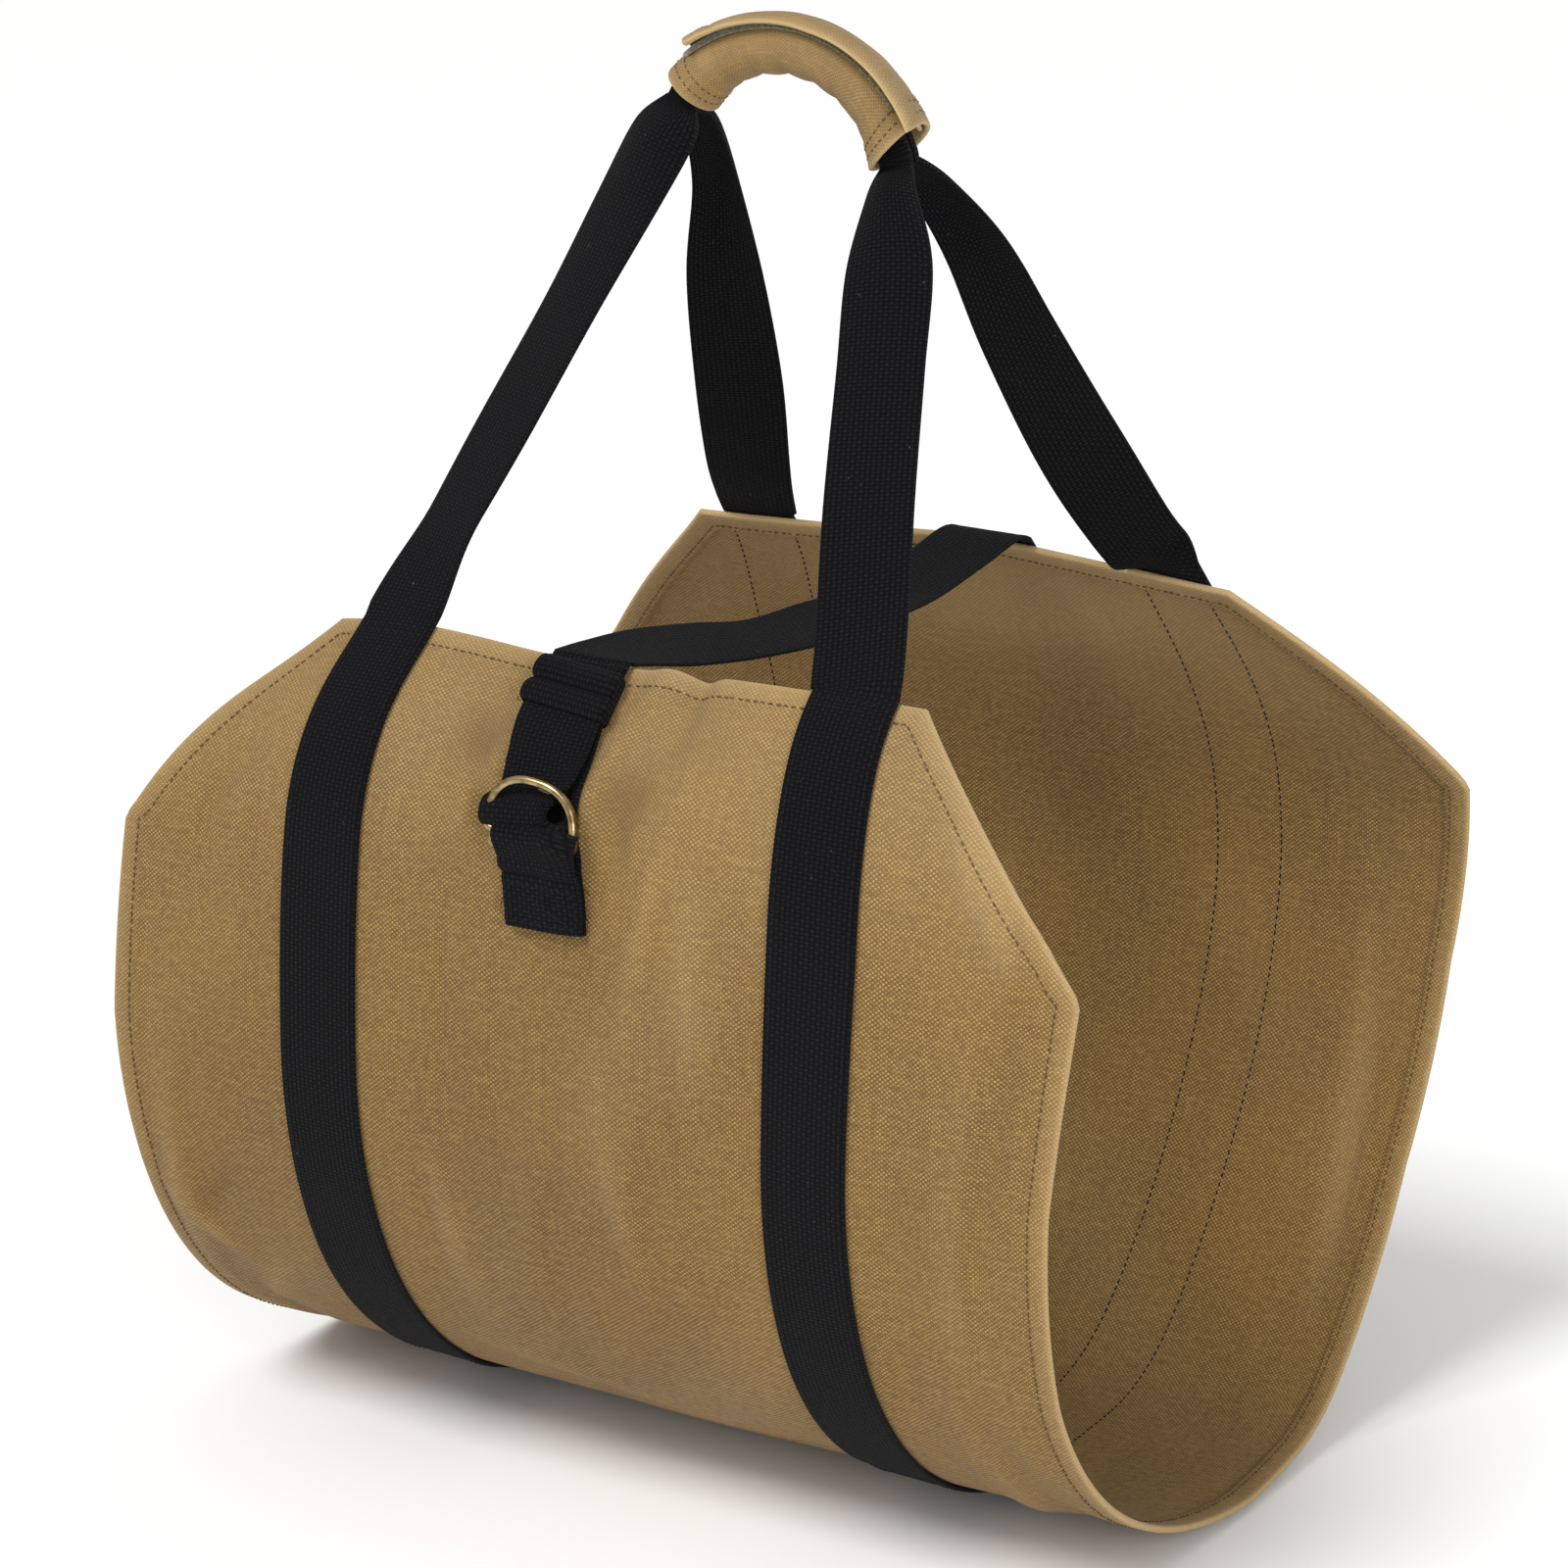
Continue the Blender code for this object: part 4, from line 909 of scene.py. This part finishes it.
def makeLoop(name, end):
    # One length of webbing: up the left run, through the grip and down the right one.
    left, right = sewnRings(end, -1), sewnRings(end, 1)
    up = handleRows(end, -1, left[-1].mean(axis=0))
    down = handleRows(end, 1, right[-1].mean(axis=0))
    aside = end * (grip["foldedWall"] + grip["foldedGap"]) / 2
    arch = []
    for degrees in np.linspace(-grip["left"], grip["right"], 7):
        arch.append((*(onArch(degrees)[0] + np.array([0, aside, 0])), *up[-1][3:]))
    path = catmull(up + arch + down[::-1], handleCuts)
    path[:, 1] = end * np.maximum(end * path[:, 1], aside * end)
    places = path[:, :3]
    lean = np.array([0, up[-1][1] - up[0][1], up[-1][2] - up[0][2]])
    handleFacing = unit(np.cross([1.0, 0, 0], lean)) * -end
    tangents = unit(np.gradient(places, axis=0))
    share = path[:, 7:8]
    level = np.array([0, end, 0]) * (1 - share) + handleFacing * share
    outer = unit(np.cross(level, tangents) * -end)
    normal = unit(np.cross(tangents, outer) * -end)
    angle = np.radians(path[:, 6])
    outer, normal = turned(outer, tangents, angle), turned(normal, tangents, angle)
    # near the mouth the webbing still faces as the sheet does
    way = np.concatenate([[0], np.cumsum(np.linalg.norm(np.diff(places, axis=0), axis=1))])
    for sewn, distance, side in ((left, way, -1), (right, way[-1] - way, 1)):
        sheetSide = unit(sewn[-1, rightEdge] - sewn[-1, 0])
        if (sheetSide * outer[0 if sewn is left else -1]).sum() < 0:
            sheetSide = -sheetSide
        weight = 1 - smoothStep(distance / blendLength[end, side])[:, None]
        outer = unit(outer * (1 - weight) + sheetSide * weight)
    outer = unit(outer - tangents * (outer * tangents).sum(axis=1, keepdims=True))
    normal = unit(np.cross(tangents, outer) * -end)
    widths, walls = path[:, 3] * strap["width"], path[:, 4] * strap["wall"]
    # the section runs from the handle's left edge in both halves of the loop
    free = freeRings(places, outer, normal, widths, walls, np.maximum(path[:, 5], 0))
    # each ring is turned to match the sewn one that it follows on from
    gaps = np.linalg.norm(free[0, [0, rightEdge]] - left[-1, 0], axis=1)
    if gaps[0] > gaps[1]:
        free = freeRings(places, -outer, normal, widths, walls, np.maximum(path[:, 5], 0))
    right = right[::-1]
    gaps = np.linalg.norm(free[-1, [0, rightEdge]] - right[0, 0], axis=1)
    if gaps[0] > gaps[1]:
        right = np.concatenate([right[:, rightEdge::-1], right[:, :rightEdge:-1]], axis=1)
    rings = np.concatenate([left, free[2:-2], right])
    return skin(name, rings, webbing, sectionAcross)


place(makeLoop("webbingFront", frontSide), "black_webbing", "webbing_front")
place(makeLoop("webbingBack", backSide), "black_webbing", "webbing_back")
print("webbing made")

webbingStitch = {"inset": 0.0028, "pitch": 0.0038, "length": 0.0027, "radius": 0.00034}
runStop = 0.004  # from the mouth
barDowns = (0.0040, 0.0075)
threadLevel = strap["seat"] + strap["wall"] * 0.97


def webbingRows():
    # Two rows down each sewn run on the webbing, and the same rows inside the canvas.
    outside, inside = [], []
    half = sheet["halfLength"]
    for side in (-1, 1):
        for step in (-1, 1):
            aside = step * (strap["width"] / 2 - webbingStitch["inset"])
            for end, low, high in ((-1, -half + runStop, -0.003), (1, 0.003, half - runStop)):
                along = np.linspace(low, high, 160)
                across = runMiddle(end, side, along) + aside
                for rows, height in ((outside, threadLevel), (inside, -sheet["wall"] - 0.0001)):
                    rows.append(stitchRow(*sheetPath(across, along, height), webbingStitch))
        for end in (-1, 1):
            # a bar of stitches across the strap at the canvas's top edge
            for down in barDowns:
                reach = strap["width"] / 2 - webbingStitch["inset"]
                aside = np.linspace(-reach, reach, 40)
                along = np.full_like(aside, end * (half - down))
                across = runMiddle(end, side, along) + aside
                outside.append(stitchRow(*sheetPath(across, along, threadLevel),
                                         webbingStitch))
    return outside, inside


outsideRows, insideRows = webbingRows()
place(makeStitches("webbingStitches", outsideRows, blackThread), "black_webbing")
place(makeStitches("webbingStitchesInside", insideRows, blackThread), "black_webbing")
print("webbing stitches made")


def coverRadius(degrees, along):
    # inner radius of the wrap, which grows by a layer on its way to the flap
    bore = coverBore * (1 + grip["swell"] * np.abs(along) ** 3)
    ramp = smoothStep((degrees - grip["ramp"]) / (360 + grip["start"] - grip["ramp"]))
    layer = grip["wall"] + grip["tapeWall"] + 3 * strap["seat"]
    lip = np.maximum(0, (degrees - 360) / (grip["lip"] - 360))
    lift = grip["lift"] + grip["liftRight"] * np.maximum(0, along)
    return bore + layer * ramp + lift * lip ** grip["curl"]


def onWrap(degrees, along, radius):
    angle = np.radians(degrees)
    flap = np.maximum(0, (degrees - grip["flapRoot"]) / (grip["lip"] - grip["flapRoot"]))
    left = grip["left"] - grip["flapShort"] * flap
    right = grip["right"] - grip["slant"] * np.cos(angle)
    centre, out = onArch((right - left + along * (right + left)) / 2)
    down = np.zeros(centre.shape)
    down[..., 1] = radius * np.sin(angle)
    return centre + out * (radius * np.cos(angle))[..., None] - down


# creases of the grip: place from end to end, degrees round, half widths of both, depth mm
gripCreases = (
    (-0.62, 170, 0.035, 60, -0.9), (-0.40, 185, 0.045, 55, -1.1), (-0.14, 178, 0.040, 60, -1.2),
    (0.12, 190, 0.050, 50, -1.1), (0.36, 180, 0.040, 60, -1.0), (0.62, 175, 0.040, 55, -0.8),
    (-0.26, 200, 0.050, 60, 0.6), (0.00, 200, 0.050, 60, 0.6), (0.24, 205, 0.050, 60, 0.6),
    (-0.80, 20, 0.040, 90, -0.5), (0.84, 40, 0.035, 80, -0.6), (-0.70, 60, 0.10, 40, 0.4),
    (0.50, 330, 0.10, 40, 0.5), (0.05, 340, 0.20, 25, 0.4), (-0.35, 352, 0.12, 30, -0.4),
    (0.72, 300, 0.08, 50, 0.5), (0.30, 60, 0.15, 30, -0.3),
)


def gripCrease(degrees, along):
    depth = 0
    for middle, turn, halfAlong, halfTurn, deep in gripCreases:
        for lap in (0, 360):
            depth = depth + deep * np.exp(-((along - middle) / halfAlong) ** 2
                                          - ((degrees - turn - lap) / halfTurn) ** 2)
    return depth * grip["creaseUnit"]


def gripHem(along):
    # distance from the end of the grip, and the hem's extra height there
    fromEnd = (1 - np.abs(along)) * gripHalfArc
    step = smoothStep((fromEnd - grip["endHemWidth"]) / grip["hemStep"])
    return fromEnd, grip["endHem"] * (1 - step)


def makeGrip():
    angles = np.concatenate([
        [grip["start"], grip["start"] + 0.6, grip["start"] + 2.0],
        np.linspace(grip["start"] + 5, grip["lip"] - 5, 118),
        [grip["lip"] - 2.5, grip["lip"] - 1.0, grip["lip"]]])
    alongs = np.concatenate([[-1, -0.994, -0.98], np.linspace(-0.965, 0.965, 96),
                             [0.98, 0.994, 1]])
    a, s = np.meshgrid(angles, alongs)
    crease = gripCrease(a, s)
    # a hem at the lip and at both ends, and rounded edges all round
    fromLip = (grip["lip"] - a) * math.radians(1) * coverBore
    fromEnd, hem = gripHem(s)
    step = smoothStep((fromLip - grip["lipHemWidth"]) / grip["hemStep"])
    hem = grip["lipHem"] * (1 - step) + hem
    near = np.minimum(np.minimum(fromEnd, fromLip),
                      (a - grip["start"]) * math.radians(1) * coverBore)
    half = grip["wall"] / 2
    inset = half - np.sqrt(np.maximum(0, half ** 2 - np.maximum(0, half - near) ** 2))
    grooves = sum(np.exp(-((fromEnd - row) / grip["grooveReach"]) ** 2)
                  for row in grip["stitchRows"])
    radius = coverRadius(a, s)
    outer = onWrap(a, s, radius + grip["wall"] + crease + hem - inset
                   - grip["groove"] * grooves)
    innerFace = onWrap(a, s, radius + np.minimum(crease, 0) * 0.3 + inset)
    spread = np.stack([s * gripHalfArc, np.radians(a) * coverBore], axis=-1)
    # paler at the edges and on the crests of the creases: partly wear, partly painted highlight
    wearAndPaintedLight = np.clip(0.8 * np.exp(-near / 0.0012) + np.clip(crease / 0.0006, 0, 1) * 0.25, 0, 1)
    wearAndPaintedLight = np.clip(wearAndPaintedLight + 0.24 + 0.22 * np.exp(-((a - 330) / 60) ** 2), 0, 1)
    # darker in the hollows of the creases: painted shade
    soilAndShade = np.clip(-crease / 0.0008, 0, 1) * 0.55
    return hemmedSkin("gripCover", outer, innerFace, spread, wearAndPaintedLight, soilAndShade, gripDuck)


place(makeGrip(), "waxed_canvas", "grip_cover")


def gripPath(degrees, along, lift=0.00015):
    degrees, along = np.asarray(degrees, float), np.asarray(along, float)
    low = coverRadius(degrees, along) + grip["wall"] + gripCrease(degrees, along)
    low = low + gripHem(along)[1]
    path = onWrap(degrees, along, low + lift - grip["groove"])
    return path, unit(onWrap(degrees, along, low + 0.01) - path)


def gripRows():
    rows = []
    turns = np.linspace(grip["start"] + 4, grip["lip"] - 4, 220)
    for inset in grip["stitchRows"]:
        for side in (-1, 1):
            along = np.full_like(turns, side * (1 - inset / gripHalfArc))
            rows.append(stitchRow(*gripPath(turns, along), gripStitch))
    along = np.linspace(-0.95, 0.95, 160)
    lipTurn = math.degrees(grip["lipStitchIn"] / coverBore)
    turns = np.full_like(along, grip["lip"] - lipTurn)
    rows.append(stitchRow(*gripPath(turns, along, grip["lipHem"]), gripStitch))
    return rows


place(makeStitches("gripStitches", gripRows(), darkThread), "waxed_canvas")


def makeTape():
    # loop tape under the flap, with a bound edge
    angles = np.linspace(grip["start"] + grip["tapeInset"],
                         grip["lip"] - 360 - grip["tapeInset"], 22)
    alongs = np.linspace(-grip["tapeReach"], grip["tapeReach"], 60)
    rings = []
    across = np.radians(angles) * coverBore
    for along in alongs:
        station = np.full_like(angles, along)
        low = coverRadius(np.zeros_like(angles), station) + grip["wall"] + 2 * strap["seat"]
        edge = np.minimum(angles - angles[0], angles[-1] - angles) * math.radians(1) * coverBore
        wall = grip["tapeWall"] * (0.55 + 0.45 * smoothStep(edge / 0.0025))
        ring = list(onWrap(angles, station, low + wall))
        ring += list(onWrap(angles[::-1], station, low))
        rings.append(ring)
    return skin("gripTape", np.array(rings), tape, np.concatenate([across, across[::-1]]))


place(makeTape(), "hook_and_loop", "grip_tape")
print("grip made")

closure = {
    "middle": -0.015, "lean": 0.17, "leanDown": 0.045, "backMiddle": 0.020,
    "tuck": 0.060, "tail": 0.0040,
    "keeperHeight": 0.022, "keeperDown": 0.0175, "keeperWall": 0.0014, "keeperTilt": 0.09,
    "keeperBulge": 0.0016, "keeperDip": 0.0010, "keeperSlack": 0.0003,
    "wire": 0.0036, "ringWidth": 0.0362, "ringHeight": 0.0225, "ringRound": 2.4,
    "ringCorner": 0.0030, "ringAside": -0.0026, "barDown": 0.082, "barShift": 0.0036,
    "barLift": 0.0024, "rearBar": 0.0060, "rearArc": 0.0056, "frontArc": 0.0150,
    "frontSpin": 14.0, "rearSpin": 7.0,
    "tabWidth": 0.0345, "tabNeck": 0.0340, "tabLength": 0.031, "tabGap": 0.0009,
    "tabTilt": 0.13, "tabEndTilt": 0.15, "boxDown": (0.0140, 0.0285), "boxInset": 0.0035,
    "backBoxDown": (0.020, 0.055), "backBoxInset": 0.004,
}
closureStitch = {"length": 0.0026, "radius": 0.00034, "pitch": 0.0033}


def closureLine(down):
    return closure["middle"] + closure["lean"] * np.maximum(0, down - closure["leanDown"])


def onFront(aside, down, height):
    # the same as onSheet, from the closure's own leaning line and square to it
    aside, down, height = np.broadcast_arrays(
        *(np.asarray(value, float) for value in (aside, down, height)))
    leaning = np.clip((down - closure["leanDown"]) / closure["tabLength"], 0, 1)
    return onSheet(closureLine(down) + aside,
                   down - sheet["halfLength"] - aside * closure["lean"] * leaning, height)


lowMiddle = strap["seat"] + strap["wall"] / 2
layer = strap["wall"] + strap["seat"]
keeperMain = lowMiddle + closure["keeperWall"] + strap["seat"]
arcDown = closure["barDown"] - closure["ringHeight"]
roll = {"loose": 0.0100, "radius": 0.0052, "aside": 0.0056, "tilt": 0.05}


def frontRings(rows, cuts):
    # rows of how far down, height of the middle and width, then how far aside and how
    # much further down each length aside lies
    path = catmull([(*row, 0, 0)[:5] for row in rows], cuts)
    way = np.gradient(path[:, :2], axis=0)
    slope = np.arctan2(way[:, 1], way[:, 0])[:, None]
    s, t = strapSection[:, 0], strapSection[:, 1] * strap["wall"] / 2
    aside = path[:, 3:4] + s * path[:, 2:3] / 2
    return onFront(aside, path[:, 0:1] + aside * path[:, 4:5] - np.sin(slope) * t,
                   path[:, 1:2] + np.cos(slope) * t)


def strapRows():
    keeperEnd = closure["keeperDown"] + closure["keeperHeight"] / 2 + strap["seat"]
    free = arcDown - keeperEnd
    width = strap["width"]
    rows = [(down, keeperMain, width) for down in np.linspace(0, keeperEnd, 5)]
    for share, wide in ((0.5, 1.0), (0.8, 0.95), (1.0, 0.90)):
        rows.append((keeperEnd + free * share, lowMiddle, width * wide))
    for degrees in np.linspace(-90, 150, 11):
        # the roll swells to the left, over the ring's side
        angle, over = math.radians(degrees), float(smoothStep((degrees + 30) / 90))
        rows.append((arcDown + roll["loose"] + roll["radius"] * math.cos(angle),
                     lowMiddle + roll["radius"] * (1 + math.sin(angle)),
                     width * (0.90 - 0.03 * over), -roll["aside"] * over,
                     roll["tilt"] * over))
    for share, layers, wide, over in ((1.04, 2.2, 0.88, 0.3), (0.80, 1.75, 0.96, 0.0),
                                      (0.35, 1.74, 1.0, 0)):
        rows.append((keeperEnd + free * share, lowMiddle + layer * layers, width * wide,
                     -roll["aside"] * over, roll["tilt"] * over))
    for down in np.linspace(keeperEnd, closure["tail"], 4):
        rows.append((down, keeperMain + layer, width))
    return rows


# back to front as a share of the mouth's depth, height as a share of it and a turn in degrees
mouthSag = ((0.05, 0.012, 0), (0.14, -0.012, 0), (0.28, -0.045, 0), (0.42, -0.050, -4),
            (0.56, -0.052, -6), (0.70, -0.036, -12), (0.84, -0.018, -12), (0.94, -0.006, -5))


def makeCrossStrap():
    s, t = strapSection[:, 0], strapSection[:, 1]
    along = np.linspace(sheet["halfLength"] - closure["tuck"], sheet["halfLength"], 24)[:, None]
    height = strap["seat"] + strap["wall"] * (t + 1) / 2
    sewn = onSheet(closure["backMiddle"] + s * strap["width"] / 2, along, height)
    start = onSheet(closure["backMiddle"], sheet["halfLength"], lowMiddle)
    end = onFront(0, 0, keeperMain)
    rows = [(*start, 0)]
    for forward, rise, turn in mouthSag:
        x, y, z = start + (end - start) * forward
        rows.append((x, y, z + rise * 2 * mouthHalf, turn))
    path = catmull(rows + [(*end, 0)], 8)
    path, turns = path[:, :3], np.radians(path[:, 3])
    tangents = unit(np.gradient(path, axis=0))
    sides = np.array([1.0, 0, 0]) - tangents * tangents[:, :1]
    sides = turned(unit(sides), tangents, turns)
    ups = -np.cross(sides, tangents)
    full = np.ones(len(path))
    free = freeRings(path, sides, ups, full * strap["width"], full * strap["wall"], full * 0)
    front = frontRings(strapRows(), 4)
    rings = np.concatenate([sewn, free[2:-2], front])
    return skin("crossStrap", rings, webbing, sectionAcross)


place(makeCrossStrap(), "black_webbing", "cross_strap")


def makeKeeper():
    # A band round both layers, pressed in along its middle so that it rolls above and below.
    inner = strap["width"] / 2
    bottom = strap["seat"] + closure["keeperWall"]
    top = keeperMain + layer + strap["wall"] / 2 + strap["seat"]
    wall = closure["keeperWall"]
    loop = []
    for side, level, first, last in ((1, top, 100, 260), (-1, bottom, -80, 80)):
        for aside in np.linspace(side * inner, -side * inner, 19):
            loop.append((aside, level, 0, side))
        for angle in np.radians(np.linspace(first, last, 9)):
            height = (top + bottom) / 2 + (top - bottom) / 2 * math.sin(angle)
            loop.append((-side * inner, height, math.cos(angle), math.sin(angle)))
    downs = np.linspace(-1, 1, 15)
    rings = []
    for aside, height, outX, outZ in loop:
        over = 1 if outZ > 0.5 else 0
        bulge = closure["keeperBulge"] * np.abs(np.sin(math.pi * downs)) ** 0.8 * over
        dip = -closure["keeperDip"] * np.exp(-(downs / 0.12) ** 2) * over
        slack = closure["keeperSlack"] * (1 - np.abs(downs) ** 2) * abs(outX)
        edge = np.sqrt(np.maximum(0, 1 - np.maximum(0, np.abs(downs) * 11 - 10.3) ** 2 / 0.49))
        reach = wall * (0.5 + 0.5 * edge) + bulge + dip + slack
        within = wall * (0.5 - 0.5 * edge)
        down = (closure["keeperDown"] + closure["keeperHeight"] / 2 * downs
                + aside * closure["keeperTilt"])
        ring = list(onFront(aside + outX * reach, down, height + outZ * reach))
        ring += list(onFront(aside + outX * within, down, height + outZ * within)[::-1])
        rings.append(ring)
    across = np.concatenate([downs, downs[::-1]]) * closure["keeperHeight"] / 2
    return skin("strapKeeper", np.array(rings), webbing, across, closed=True)


place(makeKeeper(), "black_webbing", "strap_keeper")


# past the rings: how many wraps down, height in layers, width as a share and which tilt
tabReturn = ((2.0, 2.1, 1.0, "tabTilt"), (2.8, 0.95, 0.985, "tabEndTilt"),
             (3.3, 1.15, 1.0, "tabEndTilt"))


def makeTab():
    low = lowMiddle + strap["seat"]
    bar = closure["barDown"]
    wrap = closure["wire"] / 2 + closure["tabGap"] + strap["wall"] / 2
    frontDown = bar - closure["barShift"]
    frontHeight = closure["rearBar"] + closure["barLift"]
    end = bar + closure["tabLength"]
    wide, neck = closure["tabWidth"], closure["tabNeck"]
    tilt, endTilt = closure["tabTilt"], closure["tabEndTilt"]
    rows = [(down, low, wide, 0, endTilt) for down in np.linspace(end, bar + 2 * wrap, 3)]
    rows.append((bar, low, neck, 0, tilt))
    for angle in np.radians((220, 180, 140, 100, 60)):
        rows.append((frontDown + wrap * math.cos(angle), frontHeight + wrap * math.sin(angle),
                     neck, 0, tilt))
    rows.append((bar + wrap, closure["rearBar"] + wrap * 0.4, neck, 0, tilt))
    rows += [(bar + wraps * wrap, low + high * layer, wide * share, 0, closure[lean])
             for wraps, high, share, lean in tabReturn]
    rows += [(down, low + layer, wide, 0, endTilt)
             for down in np.linspace(bar + 4 * wrap, end, 3)]
    return skin("ringTab", frontRings(rows, 6), webbing, sectionAcross * wide / strap["width"])


place(makeTab(), "black_webbing", "ring_tab")


def boxStitches(middle, tops, height, halfWide, flip=False):
    # A sewn box with a cross in it, from tops[0] to tops[1] down the front.
    low, high = tops
    corners = [(-halfWide, low), (halfWide, low), (halfWide, high), (-halfWide, high)]
    lines = list(zip(corners, corners[1:] + corners[:1]))
    lines += [(corners[0], corners[2]), (corners[1], corners[3])]
    rows = []
    for (x0, y0), (x1, y1) in lines:
        x, y = np.linspace(x0, x1, 30), np.linspace(y0, y1, 30)
        if flip:
            path = onSheet(middle + x, sheet["halfLength"] - y, height)
            top = onSheet(middle + x, sheet["halfLength"] - y, height + 0.01)
        else:
            y = y + x * closure["tabEndTilt"]
            path, top = onFront(x, y, height), onFront(x, y, height + 0.01)
        rows.append(stitchRow(path, unit(top - path), closureStitch))
    return rows


tabTop = lowMiddle + strap["seat"] + layer + strap["wall"] / 2 - 0.00005
boxes = boxStitches(0, [closure["barDown"] + down for down in closure["boxDown"]], tabTop,
                    closure["tabWidth"] / 2 - closure["boxInset"])
boxes += boxStitches(closure["backMiddle"], closure["backBoxDown"], threadLevel,
                     strap["width"] / 2 - closure["backBoxInset"], flip=True)
looseStitch = {"length": 0.0011, "radius": 0.00018, "pitch": 0.0007}
# cut thread ends: from how far aside and down, how far on both ways, and height
looseEnds = (
    (-0.0200, 0.0270, -0.0045, -0.0030, 0.0060), (0.0190, 0.0285, 0.0060, 0.0020, 0.0056),
    (-0.0170, 0.1000, -0.0030, 0.0040, 0.0044), (-0.0168, 0.1060, -0.0022, 0.0030, 0.0042),
    (0.0170, 0.0960, 0.0026, 0.0036, 0.0044), (0.0168, 0.1080, 0.0030, 0.0028, 0.0042),
    (-0.0180, 0.0480, -0.0024, 0.0030, 0.0048), (0.0150, 0.0780, 0.0030, -0.0024, 0.0110),
)
for aside, down, sideways, onward, height in looseEnds:
    reach = np.linspace(0, 1, 12)
    spot = (aside + sideways * reach, down + onward * reach * reach)
    path, top = onFront(*spot, height - 0.002 * reach), onFront(*spot, height + 0.01)
    boxes.append(stitchRow(path, unit(top - path), looseStitch))
place(makeStitches("closureStitches", boxes, blackThread), "black_webbing")


def ringOutline():
    cuts = 60
    half = (closure["ringWidth"] + closure["wire"]) / 2
    corner, power = closure["ringCorner"], 2 / closure["ringRound"]
    points = [(x, 0.0) for x in np.linspace(-0.7, 0.7, 16) * half]
    bend = []
    for angle in np.radians(np.linspace(270, 360, 7)):
        bend.append((half - corner + corner * math.cos(angle), corner + corner * math.sin(angle)))
    arc = []
    for step in range(1, cuts):
        angle = math.pi * step / cuts
        c, s = math.cos(angle), math.sin(angle)
        arc.append((math.copysign(half * abs(c) ** power, c),
                    corner + (closure["ringHeight"] - corner) * s ** power))
    return points + bend + arc + [(-x, y) for x, y in reversed(bend)]


weldBead = {"aside": 0.004, "reach": 0.0012, "swell": 0.10}


def makeRing(name, barDown, barHeight, arcHeight, spin):
    # Round wire bent to a D, with a low weld bead in the middle of its bar.
    outline = np.array([(x, y, 0) for x, y in ringOutline()])
    tangents = unit(np.roll(outline, -1, axis=0) - np.roll(outline, 1, axis=0))
    out = np.cross(tangents, [0, 0, 1.0])
    sides = np.linspace(0, 2 * math.pi, 15)[:-1]
    bead = np.exp(-((outline[:, 0] - weldBead["aside"]) / weldBead["reach"]) ** 2)
    bead = 1 + weldBead["swell"] * bead * (outline[:, 1] < 0.001)
    radius = closure["wire"] / 2 * bead
    rings = outline[:, None] + (out[:, None] * np.cos(sides)[:, None]
                                + np.array([0, 0, 1.0]) * np.sin(sides)[:, None]
                                ) * radius[:, None, None]
    middle = closure["ringAside"]
    bar = onFront(middle, barDown, barHeight)
    arc = onFront(middle, barDown - closure["ringHeight"], arcHeight)
    along = unit(arc - bar)
    aside = onFront(0.01, barDown, barHeight) - onFront(-0.01, barDown, barHeight)
    aside = unit(aside - along * (aside * along).sum())
    c, s = math.cos(math.radians(spin)), math.sin(math.radians(spin))
    aside, along = aside * c - along * s, along * c + aside * s
    axes = np.stack([aside, along, np.cross(aside, along)])
    return skin(name, bar + rings @ axes, brass, sides * closure["wire"] / 2, closed=True)


place(makeRing("dRingRear", closure["barDown"], closure["rearBar"], closure["rearArc"],
               closure["rearSpin"]),
      "antique_brass", "d_ring_rear")
place(makeRing("dRingFront", closure["barDown"] - closure["barShift"],
               closure["rearBar"] + closure["barLift"], closure["frontArc"],
               closure["frontSpin"]),
      "antique_brass", "d_ring_front")
print("closure made")

studio = {"floorDrop": 0.0015, "floor": "FBFBFA", "world": 0.52, "reach": 300,
          "key": 2.15, "softness": 26.0, "fill": 20.0, "rim": 5.0, "discSize": 1.2,
          "keyFrom": (-0.45, -1.1, 1.15), "fillFrom": (1.7, -1.4, 0.3),
          "rimFrom": (0.4, 1.9, 0.8), "aim": (0, 0, -0.3)}


def aimAt(name, data, spot, aim):
    spot, aim = np.array(spot, float), np.array(aim, float)
    back = unit(spot - aim)
    right = unit(np.cross([0, 0, 1.0], back))
    addObject(name, data).matrix_world = poseOf(right, np.cross(back, right), back, spot)


def makeStudio():
    # A plain pale floor that runs out to white, and soft light from all round.
    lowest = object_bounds()[0][2] - studio["floorDrop"]
    data = bpy.data.meshes.new("paleFloor")
    reach = studio["reach"]
    data.from_pydata([(-reach, -reach, lowest), (reach, -reach, lowest),
                      (reach, reach, lowest), (-reach, reach, lowest)], [], [(0, 1, 2, 3)])
    floor = addObject("paleFloor", data)
    # Matt background paper: the eye sees a plain white ground with no gloss.
    paper, shader = startMaterial("mattPaper")[::2]
    shader.inputs["Base Color"].default_value = toLinear(studio["floor"])
    shader.inputs["Roughness"].default_value = 0.9
    shader.inputs["Specular IOR Level"].default_value = 0.1
    data.materials.append(paper)
    world = bpy.data.worlds.new("softRoom")
    world.use_nodes = True
    sky = world.node_tree.nodes["Background"]
    sky.inputs["Color"].default_value = (1, 1, 1, 1)
    sky.inputs["Strength"].default_value = studio["world"]
    bpy.context.scene.world = world
    bpy.context.scene.view_settings.view_transform = "Standard"
    key = bpy.data.lights.new("keyLight", "SUN")
    key.energy, key.angle = studio["key"], math.radians(studio["softness"])
    aimAt("keyLight", key, studio["keyFrom"], studio["aim"])
    for name in ("fill", "rim"):
        data = bpy.data.lights.new(name + "Light", "AREA")
        data.shape, data.size, data.energy = "DISK", studio["discSize"], studio[name]
        aimAt(name + "Light", data, studio[name + "From"], studio["aim"])


makeStudio()
print("studio made")
